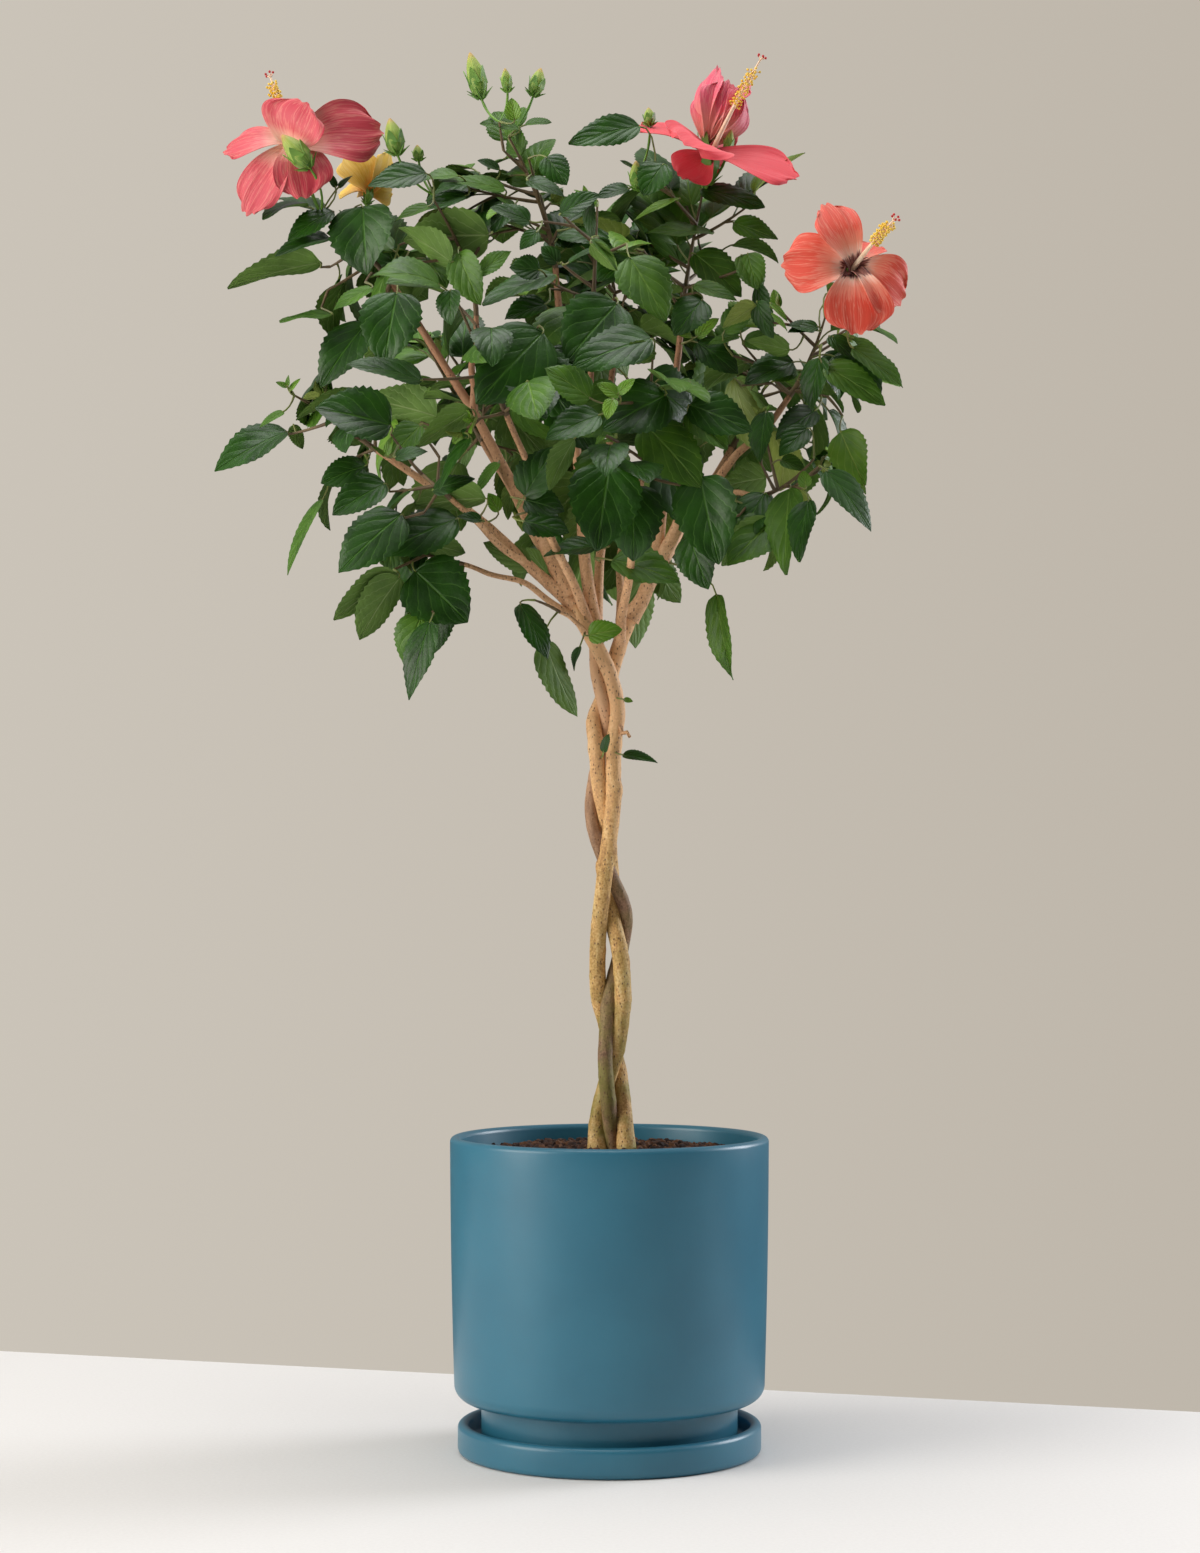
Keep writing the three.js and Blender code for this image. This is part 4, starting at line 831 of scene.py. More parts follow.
# Round places where the sky shows through the crown from the front: across, height and radius.
skyGaps = np.array([
    (-161, 1035, 5), (-244, 1016, 13), (-152, 960, 8), (-215, 915, 14), (-193, 904, 8), (-155, 920, 8),
    (-113, 918, 7), (-173, 873, 6), (-151, 843, 10), (-108, 837, 11), (-63, 1054, 8), (-90, 1025, 9),
    (-95, 1005, 9), (-89, 965, 8), (9, 990, 6), (20, 983, 6), (76, 995, 8), (95, 1038, 12), (11, 918, 6),
    (90, 839, 12), (128, 933, 8), (154, 931, 6), (147, 887, 8), (168, 857, 8), (145, 823, 8), (174, 813, 8),
    (117, 811, 6), (-112, 770, 8), (-93, 666, 36), (-262, 831, 22), (-247, 768, 22), (-262, 931, 14),
    (-192, 645, 15), (34, 687, 19), (68, 713, 12), (119, 713, 25), (-139, 1026, 7), (-42, 1090, 8),
    (-131, 1103, 10), (-303, 969, 22), (-322, 946, 14), (-275, 982, 10), (-301, 1022, 8), (-269, 1042, 11),
    (-295, 913, 17), (-315, 891, 14), (-307, 876, 10), (-224, 792, 10), (-247, 742, 25), (-218, 664, 20),
    (-200, 687, 12), (-190, 713, 11), (-188, 730, 7), (-137, 664, 15), (-125, 686, 14), (-113, 716, 10),
    (-100, 703, 14), (-17, 645, 8), (-40, 694, 8), (-61, 711, 7), (184, 750, 17), (194, 781, 14),
    (167, 728, 12), (233, 799, 12), (244, 870, 12), (249, 937, 10), (229, 947, 8), (159, 976, 14),
    (141, 1003, 12), (173, 964, 8), (141, 1016, 8), (162, 1055, 14), (162, 1030, 8), (-39, 1135, 15),
    (-118, 1121, 12), (-113, 1101, 8), (-99, 1154, 6), (106, 1130, 10), (112, 1111, 8), (43, 687, 14),
    (68, 670, 17), (128, 670, 25), (-329, 874, 8), (-335, 806, 25), (-307, 810, 22), (-284, 831, 12),
    (251, 831, 22), (212, 755, 17), (238, 772, 12), (-8, 1086, 20), (-131, 1120, 10), (-253, 979, 8),
    (-262, 944, 12), (-273, 932, 8), (209, 876, 8), (240, 891, 6), (-40, 604, 10), (-18, 631, 7),
    (32, 620, 9), (-36, 652, 7), (-29, 640, 6), (247, 893, 8), (241, 943, 6), (209, 885, 5),
], float)
# Limbs, and stems of masses, that show in front of the leaves, from a share of their length on.
shownLimbs = {"bough_left_high": 0.55, "bough_left_low": 0.0, "bough_right": 0.2, "foliage_top": 0.0}
eye = np.array([viewpoint["across"], -viewpoint["distance"], viewpoint["height"]])
# A shown leaf and the wood it stands by: how much nearness to the front, wood past its foot and wood
# further off than far count, its gap to the wood, and how it stands before a limb that it covers.
showing = {"backFrom": 140, "frontShare": 0.16, "pastShare": 0.6, "far": 26, "farShare": 2, "gap": 6,
           "gapShare": 0.15, "covers": 12, "coverGap": 15, "coverMost": 60, "tipBack": 0.12,
           "tipFront": -0.16}


def atDepth(spot, depth):
    # A place seen at the trunk's distance, moved along the line of sight to another depth.
    share = (depth - eye[1]) / -eye[1]
    return np.array([eye[0] + (spot[0] - eye[0]) * share, depth, eye[2] + (spot[1] - eye[2]) * share])


def seenAt(points):
    share = -eye[1] / (points[..., 1] - eye[1])
    return np.stack([eye[k] + (points[..., k] - eye[k]) * share for k in (0, 2)], axis=-1)


def facingFront(toward, roll):
    # The way a blade runs and the way its face looks: rolled from the front by some degrees, upper side up.
    axis = unit(toward)
    front = unit(np.array([0.0, -1.0, 0.0]) + axis * axis[1])
    across = np.cross(axis, front)
    across = across * (1 if np.dot(across, (-0.4, 0, 0.9)) > 0 else -1)
    return axis, front * math.cos(math.radians(roll)) + across * math.sin(math.radians(roll))


def showLeaves(wood, cover):
    # Each leaf is set just in front of the wood that lies nearest to it in view, or just behind it where
    # the leaf is rolled past backFrom, and turned about its rib so that its upper side faces the front (0),
    # up (90) or away (180). One that faces the front also stands before the limbs that it covers.
    seen = seenAt(wood)
    coverSeen = seenAt(cover)
    found = []
    rows = [(shade, *row) for shade, rows in shownLeaves.items() for row in rows]
    for shade, *ends, roll, breadth in rows:
        start, end = ends[:2], ends[2:]
        apart = np.hypot(*(seen - start).T)
        toward = np.array(end, float) - start
        past = np.clip((seen - start) @ toward / np.linalg.norm(toward), 0, None)
        side = 1 if roll > showing["backFrom"] else -1
        chosen = np.argmin(apart - side * showing["frontShare"] * wood[:, 1] + showing["pastShare"] * past
                           + np.clip(apart - showing["far"], 0, None) * showing["farShare"])
        depth = wood[chosen, 1] + side * (showing["gap"] + showing["gapShare"] * apart[chosen])
        along = start + toward * np.array([[0.1], [0.4], [0.7]])
        over = np.hypot(*(coverSeen[:, None] - along).T).T.min(axis=1) < showing["covers"]
        if roll <= 90 and over.any():
            depth = max(min(depth, cover[over, 1].min() - showing["coverGap"]), depth - showing["coverMost"])
        base = atDepth(start, depth)
        lean = showing["tipBack" if roll > 90 else "tipFront"]
        tip = atDepth(end, depth + lean * np.linalg.norm(toward))
        # The blade bends evenly, so it sets out half its bend above the line to its tip.
        axis, normal = facingFront(tip - base, roll)
        rise = growth["shownBend"] / 2
        ahead = axis * math.cos(rise) + normal * math.sin(rise)
        normal = normal * math.cos(rise) - axis * math.sin(rise)
        found.append({"root": wood[chosen], "chosen": chosen, "base": base, "axis": ahead, "normal": normal,
                      "bend": growth["shownBend"], "length": np.linalg.norm(tip - base),
                      "broad": breadth / leaf["widthShare"], "shade": shade})
    return found


def alongBlade(found, *shares):
    # Spots on a blade's straight line from foot to tip.
    return found["base"] + found["axis"] * found["length"] * np.array(shares)[:, None]


def distances(points, others):
    return np.sqrt(((points[:, None] - others) ** 2).sum(-1))


def inSky(points):
    # Whether any of a few points shows inside a gap.
    apart = np.hypot(*(seenAt(points)[:, None] - skyGaps[:, :2]).T).T
    return bool((apart < skyGaps[:, 2] + growth["skyEdge"]).any())


def plantTwigs(limbs, fromLimbs):
    # The twigs of all masses that clear the limbs, stay in their mass's space and end out of the gaps.
    twigs = []
    for mass in masses.values():
        draw = seeded(mass["seed"])
        for twig in twigsOf(mass, limbs, draw):
            away = np.linalg.norm((twig["line"][-1] - mass["middle"]) / np.array(mass["half"], float))
            if twig["level"] and ("mass" not in twig["parent"] or away > 1.0 or inSky(twig["line"][-1:])
                                  or fromLimbs(twig["line"][2:]) < 1.5):
                continue
            twig.update(mass=mass, draw=draw)
            twigs.append(twig)
    return twigs


def shownSpots(leaves, twigs, limbs):
    # Spots on all that has to show from the front, and how clear of each the grown leaves stay.
    spots = [alongBlade(found, 0.15, 0.5, 0.85) for found in leaves]
    for bloom in (*blooms.values(), wilted):
        tips = np.array([petal[:3] for petal in bloom["petals"]], float)
        spots += [np.array(bloom["middle"], float) + tips * share for share in (0, 0.5, 0.9)]
    spots += [[bud[0] for bud in buds], [bud[1] for bud in buds]]
    lines = []
    for name, share in shownLimbs.items():
        limb = limbs[name] if name in limbs else next(twig for twig in twigs if twig["mass"] is masses[name])
        lines.append(limb["line"][int(share * len(limb["line"]))::2])
    spots, lines = np.concatenate(spots), np.concatenate(lines)
    clear = np.repeat([growth["overShown"], growth["overLimb"]], [len(spots), len(lines)])
    return np.concatenate([spots, lines]), clear


def growCrown(limbs):
    limbPoints = np.concatenate([limb["line"][::3] for limb in limbs.values()])
    limbRadii = np.concatenate([limb["radii"][::3] for limb in limbs.values()])

    def fromLimbs(points):
        return (distances(points, limbPoints) - limbRadii).min()

    twigs = plantTwigs(limbs, fromLimbs)
    wood = np.concatenate([twig["line"][1:] for twig in twigs])
    owner = np.repeat(np.arange(len(twigs)), [len(twig["line"]) - 1 for twig in twigs])
    shares = np.concatenate([np.linspace(0, 1, len(twig["line"]))[1:] for twig in twigs])
    covered = [limb["line"][::3] for name, limb in limbs.items() if name not in shownLimbs]
    leaves = showLeaves(np.concatenate([wood, limbPoints]), np.concatenate(covered))
    for found in leaves:
        if found["chosen"] < len(wood):
            found["twig"], found["share"] = twigs[owner[found["chosen"]]], shares[found["chosen"]]
    shown, clear = shownSpots(leaves, twigs, limbs)
    shownSeen = seenAt(shown)
    taken = list(shown)

    def inTheWay(found, samples, others):
        # Too near a limb or another twig, in a gap, or in front of something that has to show.
        if fromLimbs(samples) < growth["fromLimb"]:
            return True
        if distances(samples[1:], others).min() < growth["fromTwig"]:
            return True
        wide = np.cross(found["axis"], found["normal"]) * found["length"] * 0.3
        spread = np.concatenate([samples, samples[:3] + wide, samples[:3] - wide])
        over = np.hypot(*(seenAt(spread)[:, None] - shownSeen).T).T < clear
        return inSky(spread) or (over & (spread[:, None, 1] < shown[:, 1] + 4)).any()

    for number, twig in enumerate(twigs):
        mass, draw, line = twig["mass"], twig["draw"], twig["line"]
        scale = mass["leafSize"] * (growth["shootLeaf"] if twig["level"] == 2 else 1)
        first = growth["firstLeaf"][twig["level"]]
        count = max(2, round(lineLength(line) * (1 - first) / growth["spacing"]) + 1)
        spray = next(draw)
        others = wood[owner != number]
        for i in range(count):
            share = mix(first, 1, i / (count - 1))
            turn = i * growth["goldenTurn"] + next(draw) * growth["looseTurn"]
            droop, reach, a, b, c, size = (next(draw) for k in range(6))
            root, ahead = alongLine(line, min(share, 0.98)), unit(line[-1] - line[0])
            best, room = None, growth["apart"] * scale
            for tries in range(growth["tries"]):
                found = leafPlace(root, ahead, share, turn + tries * growth["tryTurn"], droop, reach,
                                  (a - 0.5, b - 0.5, c - 0.5), size, scale)
                samples = alongBlade(found, 0.2, 0.5, 0.75, 1.0)
                tip = (samples[-1] - mass["middle"]) / np.array(mass["half"], float)
                if np.linalg.norm(tip) > growth["edge"] or inTheWay(found, samples, others):
                    continue
                gap = distances(samples[:3], np.array(taken)).min()
                if gap > room:
                    best, room, spots = found, gap, samples[:3]
            if best is None:
                continue
            taken.extend(spots)
            high = (best["base"][2] - growth["oldBelow"]) / 400
            young = share > 0.9 and twig["level"] > 0 and spray < growth["youngShare"] * (1 + high)
            young = young and best["base"][1] > growth["oldFront"]
            best["shade"] = "young" if young else "dark" if spray < growth["darkShare"] else "mid"
            leaves.append({**best, "twig": twig, "share": share})
    return trimTwigs(twigs, leaves), leaves


def trimTwigs(twigs, leaves):
    # A twig ends at its last leaf or shoot, and one that bears neither is left out.
    for twig in twigs:
        twig["reach"] = 0.0
    for found in leaves:
        if "twig" in found:
            found["twig"]["reach"] = max(found["twig"]["reach"], found["share"])
    for twig in sorted(twigs, key=lambda twig: -twig["level"]):
        if twig["level"] and twig["reach"]:
            twig["parent"]["reach"] = max(twig["parent"]["reach"], twig["at"])
    kept = [twig for twig in twigs if twig["reach"]]
    for twig in kept:
        shares = np.linspace(0, twig["reach"], len(twig["line"]))
        twig["line"] = np.array([alongLine(twig["line"], share) for share in shares])
    return kept


def valuesOf(leaves, key):
    return np.array([found[key] for found in leaves])


def leafGrid(leaves):
    # Rows along the rib, columns across: rib + side w(u) v + normal (fold + arch + wave). The rib is an
    # arc; the half width is c u^p (1-u)^q, p and q being the outline, with teeth on every other row.
    pick = np.random.default_rng(9)
    count, rows = len(leaves), leaf["rows"]

    def drawn(key, low, high):
        # What a leaf states itself, or else what is drawn for it.
        values = mix(low, high, pick.random(count))
        return np.array([found.get(key, value) for found, value in zip(leaves, values)])[:, None, None]

    base, axis, normal = (valuesOf(leaves, key)[:, None] for key in ("base", "axis", "normal"))
    length = valuesOf(leaves, "length")[:, None, None]
    bend, fold, broad = (drawn(key, *leaf[key]) for key in ("bend", "fold", "broad"))
    most = np.array([leaf["wave"], 6.28, leaf["twist"]])[:, None, None, None]
    wave, phase, twist = (pick.random((3, count)) - 0.5)[..., None, None] * most
    u = np.linspace(0, 1, rows)[None, :, None]
    v = np.array([-1, -0.5, 0, 0.5, 1.0])[None, None, :]
    p, q = leaf["outline"]
    outline = 0.86 * u ** p * (1 - u) ** q * broad * leaf["widthShare"] / 0.7
    begun = np.clip((u - leaf["teethFrom"]) * 5, 0, 1)
    tooth = leaf["teeth"] * np.cos(np.pi * np.arange(rows))[None, :, None] * begun
    wide = np.maximum(outline, 0.008) * (1 + tooth * np.abs(v) ** 6)
    side = np.cross(axis, normal)
    rib = base + length * (np.sin(bend * u) / bend * axis - (1 - np.cos(bend * u)) / bend * normal)
    upward = normal * np.cos(bend * u) + axis * np.sin(bend * u)
    sideways = side * np.cos(twist * u) + upward * np.sin(twist * u)
    upward = upward * np.cos(twist * u) - side * np.sin(twist * u)
    lift = wide * (fold * np.abs(v) + 0.5 * np.abs(v) * (1 - np.abs(v)))
    lift = lift + wave * v ** 2 * np.sin(9 * u + phase + 1.6 * v)
    top = rib[:, :, None] + sideways[:, :, None] * (length * wide * v)[..., None] \
        + upward[:, :, None] * (length * lift)[..., None]
    under = rib - upward * leaf["ribMm"] * mix(1, 0.45, u)
    return top, under


def gridUv(rows, cols):
    # u across and v along, from 0 to 1, for the points of one grid.
    across, along = np.linspace(0, 1, cols), np.linspace(0, 1, rows)[:, None]
    return np.stack(np.broadcast_arrays(across, along), axis=-1).reshape(-1, 2)


def makeLeaves(name, leaves, upper, lower, nodes):
    # A blade is a grid above and a rib below, joined by two bands of faces and closed at foot and tip.
    top, under = leafGrid(leaves)
    count, rows, cols = top.shape[:3]
    points = np.concatenate([top.reshape(-1, 3), under.reshape(-1, 3)])
    index = np.arange(count * rows * cols).reshape(count, rows, cols)
    ribs = np.arange(count * rows).reshape(count, rows) + count * rows * cols
    near, far = index[:, :, 0], index[:, :, -1]
    halves = [np.stack([near[:, :-1], near[:, 1:], ribs[:, 1:], ribs[:, :-1]], axis=-1),
              np.stack([ribs[:, :-1], ribs[:, 1:], far[:, 1:], far[:, :-1]], axis=-1)]
    foot = np.column_stack([ribs[:, 0], index[:, 0, ::-1]])
    tip = np.column_stack([index[:, -1], ribs[:, -1]])
    groups = [gridFaces(count, rows, cols)] + [half.reshape(-1, 4) for half in halves] + [foot, tip]
    ribUv = np.column_stack([np.full(rows, 0.5), np.linspace(0, 1, rows)])
    uv = np.concatenate([np.tile(gridUv(rows, cols), (count, 1)), np.tile(ribUv, (count, 1))])
    slots = (np.arange(sum(len(group) for group in groups)) >= len(groups[0])).astype(int)
    settle(putMesh(name, [(points, groups)], [upper, lower], uv, slots), "foliage", *nodes)


def makeTwigs(twigs, material):
    # Every third ring of a twig is a little thicker, as it is at its leaf scars.
    parts = []
    for twig in twigs:
        rings = np.arange(len(twig["line"]))
        knots = 1 + 0.12 * np.exp(-((rings % 3) - 1.0) ** 2 * 3)
        radii = mix(*twig["radii"], np.linspace(0, 1, len(rings))) * knots
        parts.append(tubes(twig["line"][None], radii[None], 7))
    settle(putMesh("twigs", parts, [material]), "bark")


def makeStalks(leaves, material):
    # Leaf stalks: a curve from inside the twig that turns into the blade's own direction.
    root, base, axis = (valuesOf(leaves, key) for key in ("root", "base", "axis"))
    length = np.linalg.norm(base - root, axis=1)[:, None]
    paths = bezier(root, base - axis * length * 0.35, base + axis * 1.5, 4)
    radii = np.broadcast_to(leaf["stalkRadii"], paths.shape[:2])
    settle(putMesh("leafStalks", [tubes(paths, radii, 5)], [material]), "foliage")


sprig = {"share": 0.15, "leaves": 3, "length": (9, 17), "spread": (0.25, 0.9),
         "shape": {"fold": 0.3, "bend": 0.3}}


def sprigLeaves(twigs):
    # Small folded leaves that open at the end of some twigs, in bright young green.
    pick = np.random.default_rng(17)
    found = []
    for twig in twigs:
        if twig["level"] == 0 or pick.random() < 1 - sprig["share"]:
            continue
        tip = twig["line"][-1]
        ahead = unit(tip - twig["line"][-3])
        for k in range(sprig["leaves"]):
            side = sideOf(ahead, k * 2.4 + pick.random() * 1.5)
            axis = unit(ahead + side * mix(*sprig["spread"], pick.random()) + (0, 0, 0.2))
            found.append({"root": tip - ahead, "base": tip + axis * 3, "axis": axis,
                          "normal": squared(-side + ahead * 0.4, axis), "shade": "young",
                          "length": mix(*sprig["length"], pick.random()), **sprig["shape"]})
    return found


# Blossoms. Each petal is given by its tip from the bloom's middle, its breadth, how far it is rolled from
# facing the front and how far its end curls back; the column by its tip. face runs out of the calyx. The
# skin is its name, the colours from the eye to the edge, and the veins' colour and share.
blooms = {
    "bloomCoral": {
        "middle": (-264, -20, 1100), "face": (-0.3, 0.3, 0.88), "column": (-27, 14, 61),
        "petals": [(-61, 2, -3, 36, 36, 0.05), (-40, -14, -58, 42, 12, 0.1), (11, -26, -46, 50, -12, 0.12),
                   (72, -8, 14, 54, 12, 0.15), (6, -26, 30, 66, 24, 0.2)],
        "skin": ("coralPetal", [(0.0, "#fdeedf"), (0.22, "#f6c4ae"), (0.46, "#d8505c"), (1.0, "#c82f45")],
                 "#eda594", 0.4)},
    "bloomYellow": {
        "middle": (-206, 22, 1072), "face": (0.1, 0.35, 0.9), "column": (10, 20, 22),
        "petals": [(-16, -10, 30, 36, 20, 0.1), (19, 2, 34, 22, -30, 0.1), (-26, 8, 2, 30, 40, 0.1),
                   (20, 10, 4, 24, -20, 0.1), (-8, 24, 22, 30, 70, 0.1)],
        "skin": ("yellowPetal", [(0.0, "#e8963c"), (0.35, "#e9b437"), (1.0, "#f2cb4e")], "#f6dc8a", 0.3)},
    "bloomRose": {
        "middle": (84, -14, 1092), "face": (0.08, -0.1, 0.98), "column": (37, -6, 84), "bow": 0.06,
        "petals": [(-62, 0, 31, 46, 68, 0.1), (-16, -52, 8, 66, 84, 0.3), (74, -14, -18, 50, 46, 0.02),
                   (-24, -14, -18, 42, 10, 0.1), (16, 46, 14, 56, 96, 0.1)],
        "skin": ("rosePetal", [(0.0, "#8c1230"), (0.2, "#dc3f4a"), (0.6, "#ee3d4e"), (1.0, "#f04452")],
                 "#f2757a", 0.25)},
    "bloomOrange": {
        "middle": (198, -90, 982), "face": (0.3, -0.9, 0.3), "column": (27, -38, 34),
        "petals": [(-57, -6, 4, 50, 8, 0.1), (-22, -10, 52, 40, -14, 0.2), (20, 14, 26, 38, 30, 0.1),
                   (42, -2, -24, 54, 25, 0.2), (4, -12, -54, 58, -6, 0.08)],
        "skin": ("orangePetal", [(0.0, "#3a0604"), (0.15, "#5e0c06"), (0.2, "#f9cdb9"), (0.34, "#f08c72"),
                                 (0.55, "#e8503a"), (1.0, "#e4452c")], "#f6a68e", 0.5)},
}
# The spent bloom: its petals folded up again and wrapped round one another.
wilted = {
    "middle": (83, -2, 1108), "face": (0.15, 0.0, 0.98), "calyxMm": (8, 20),
    "petals": [(7, 2, 67, 24, 30, 0.1), (17, -6, 52, 40, -10, 0.1), (32, 2, 44, 34, -50, 0.1),
               (34, 6, 54, 30, 35, 0.1), (2, -2, 46, 28, 20, 0.1)],
    "skin": ("spentPetal", [(0.0, "#f4c4b4"), (0.3, "#ea9a90"), (0.55, "#e0506a"), (1.0, "#d23a5e")],
             "#f3a9a0", 0.45)}
# Buds: where each one starts and ends, its half width, and whether its petals show past the calyx.
buds = [
    ((-109, -8, 1147), (-118, -8, 1183), 8.0, True), ((-86, -16, 1149), (-88, -18, 1167), 4.6, False),
    ((-64, -4, 1149), (-58, -4, 1171), 6.6, False), ((-178, -30, 1093), (-184, -32, 1121), 8.0, True),
    ((-161, -14, 1091), (-162, -16, 1103), 4.6, False), ((-251, -46, 1078), (-272, -52, 1102), 9.0, True),
    ((23, -40, 1061), (22, -46, 1082), 6.4, False), ((34, -10, 1122), (33, -10, 1136), 5.0, False),
    ((99, -8, 1097), (103, -8, 1118), 4.4, False),
]
budSkin = ("budPetal", [(0.0, "#55822a"), (0.5, "#86a63a"), (0.8, "#9cac42"), (1.0, "#c98a45")],
           "#b9c96a", 0.5)
petalShape = {"thickness": 0.5, "bow": 0.16, "widest": 0.74, "foot": 0.24, "ruffle": (0.035, 0.022),
              "shift": 0.03, "curlFrom": 0.55, "raised": 0.12, "notch": 0.022}
columnShape = {"radii": (2.4, 0.8), "bend": 0.07, "anthers": 80, "from": 0.5, "to": 0.88,
               "threadMm": (2.6, 5.4), "threadRadius": 0.28, "armRadius": 0.4, "armMm": (-0.5, 1.6, 3.4),
               "antherRadii": (0.45, 1.2, 1.15, 0.4), "padRadii": (0.5, 1.1, 1.1, 0.5)}
# A calyx: its size is a share of the bloom's first petal and its length a share of that size. Cup, lobes
# and bracts are shares of the two; the lobes' thickness and the bracts' radii are in mm.
calyxShape = {"size": 0.12, "length": 2.6, "cup": (0.3, 0.45, 0.62, 0.78, 0.9, 0.98, 1.0, 0.92, 0.5),
              "lobeWidth": 0.62, "lobeFrom": -0.35, "lobeRise": 0.75, "thickness": 0.7, "bractRise": 0.42,
              "bractRadii": (0.9, 1.0, 0.8, 0.55, 0.2)}
budShape = {"size": 0.97, "length": 0.5, "at": 0.42, "ridge": 0.05, "stalk": 1.0}


def faceFrame(face):
    way = unit(np.array(face, float))
    side = squareTo(way)
    return np.stack([side, np.cross(way, side), way])


def petalGrids(bloom, seed, rows=24, cols=17):
    # Along u, across v: axis L u (1 - 0.13 v^2 u^2, finely notched at the edge) + side W(u) v + normal
    # (a bow, a curled end, raised sides, and ruffles that grow towards the edge).
    u = np.linspace(0, 1, rows)[:, None]
    v = np.linspace(-1, 1, cols)[None, :]
    pick = np.random.default_rng(seed)
    grids = []
    widest, foot = petalShape["widest"], petalShape["foot"]
    opening = foot + (1 - foot) * np.sin(np.pi / 2 * np.clip(u / widest, 0, 1)) ** 1.35
    closing = np.sqrt(1 - 0.72 * np.clip((u - widest) / (1 - widest), 0, 1) ** 2.4)
    frill = u ** 2.2 * (0.35 + 0.65 * np.abs(v))
    first, second = petalShape["ruffle"]
    for dx, dy, dz, broad, roll, curl in bloom["petals"]:
        axis, normal = facingFront(np.array([dx, dy, dz], float), roll)
        side = np.cross(axis, normal)
        length = math.hypot(dx, dy, dz)
        phase = pick.random(5) * 6.28
        half = broad / 2 * opening * closing
        notches = petalShape["notch"] * u ** 3 * np.sin(11 * v + phase[0])
        along = length * u * (1 - 0.13 * v ** 2 * u ** 2 + notches)
        bow = bloom.get("bow", petalShape["bow"]) * np.sin(np.pi * u ** 0.8)
        lift = length * (bow - curl * 2.2 * np.clip(u - petalShape["curlFrom"], 0, 1) ** 1.6)
        lift = lift + broad * petalShape["raised"] * v ** 2 * (1 - 0.7 * u)
        lift = lift + broad * first * frill * np.sin(7 * v + phase[1] + 3 * u)
        lift = lift + broad * second * frill * np.sin(15 * v + phase[2])
        lift = lift + broad * 0.08 * v * u * np.sin(phase[3])
        spot = axis * along[..., None] + side * (half * v)[..., None] + normal * lift[..., None]
        sway = broad * petalShape["shift"] * u ** 2 * np.sin(8 * u + phase[4])
        grids.append(spot + side * sway[..., None])
    return np.stack(grids)


def columnParts(bloom):
    # The column, its anthers on short threads round the outer half, and five stigma pads.
    length = float(np.linalg.norm(bloom["column"]))

    def onRod(share):
        return np.column_stack([length * columnShape["bend"] * share ** 2, 0 * share, length * share])

    def knobs(ends, way, run, radii, sides):
        # Short thick tubes along way, from run[0] to run[1] past each end.
        paths = ends[:, None] + way[:, None] * np.linspace(*run, 4)[None, :, None]
        return tubes(paths, np.tile(radii, (len(ends), 1)), sides)

    share = np.linspace(0, 1, 14)
    rod = onRod(share)
    pick = np.random.default_rng(int(length))
    count = columnShape["anthers"]
    turn = np.arange(count) * growth["goldenTurn"]
    start = onRod(mix(columnShape["from"], columnShape["to"], np.linspace(0, 1, count)))
    out = np.column_stack([np.cos(turn), np.sin(turn), 0.35 + 0.3 * pick.random(count)])
    reach = mix(*columnShape["threadMm"], pick.random(count))[:, None]
    threads = np.stack([start, start + out * reach * 0.5, start + out * reach], axis=1)
    pads = np.arange(5) * 2 * np.pi / 5
    way = np.column_stack([np.cos(pads), np.sin(pads), 0.9 + 0 * pads])
    low, *higher = columnShape["armMm"]
    arms = np.stack([rod[-1] + low + 0 * way] + [rod[-1] + way * reach for reach in higher], axis=1)
    cream = [tubes(rod[None], mix(*columnShape["radii"], share)[None], 10),
             tubes(threads, np.full((count, 3), columnShape["threadRadius"]), 3),
             tubes(arms, np.full((5, 3), columnShape["armRadius"]), 5)]
    anthers = knobs(threads[:, -1], out, (-0.9, 0.9), columnShape["antherRadii"], 5)
    return cream, [anthers], [knobs(arms[:, -1], way, (-0.7, 0.8), columnShape["padRadii"], 8)]


def calyxParts(size, length):
    # A green cup behind the flower: a swelling body, five pointed lobes and seven thin bracts.
    t = np.linspace(0, 1, 9)
    body = np.column_stack([0 * t, 0 * t, -length * (1 - t)])
    cup = tubes(body[None], (size * np.array(calyxShape["cup"]))[None], 16)
    u = np.linspace(0, 1, 7)[:, None]
    v = np.linspace(-1, 1, 5)[None, :]
    half = size * calyxShape["lobeWidth"] * (1 - u) ** 0.7 + 0.15
    height = length * calyxShape["lobeFrom"] + length * calyxShape["lobeRise"] * u + 0 * v
    out = size * (0.94 + 0.28 * u ** 1.5)
    lobes = []
    for turn in 2 * np.pi * (np.arange(5) + 0.5) / 5:
        x = out * np.cos(turn) - half * v * np.sin(turn)
        y = out * np.sin(turn) + half * v * np.cos(turn)
        lobes.append(np.stack([x, y, height], axis=-1))
    angle = np.arange(7) * 2 * np.pi / 7
    level = np.column_stack([np.cos(angle), np.sin(angle), 0 * angle])
    s = np.linspace(0, 1, 5)[None, :, None]
    bracts = level[:, None] * size * (0.35 + 0.9 * s + 0.25 * s ** 2)
    bracts = bracts + (0, 0, -length) + s * (0, 0, length * calyxShape["bractRise"])
    bractPart = tubes(bracts, np.tile(calyxShape["bractRadii"], (7, 1)), 5)
    return [cup, sheets(np.stack(lobes), calyxShape["thickness"]), bractPart]


def movedTo(parts, middle, face):
    turn = faceFrame(face)
    return [(points @ turn + middle, faces) for points, faces in parts]


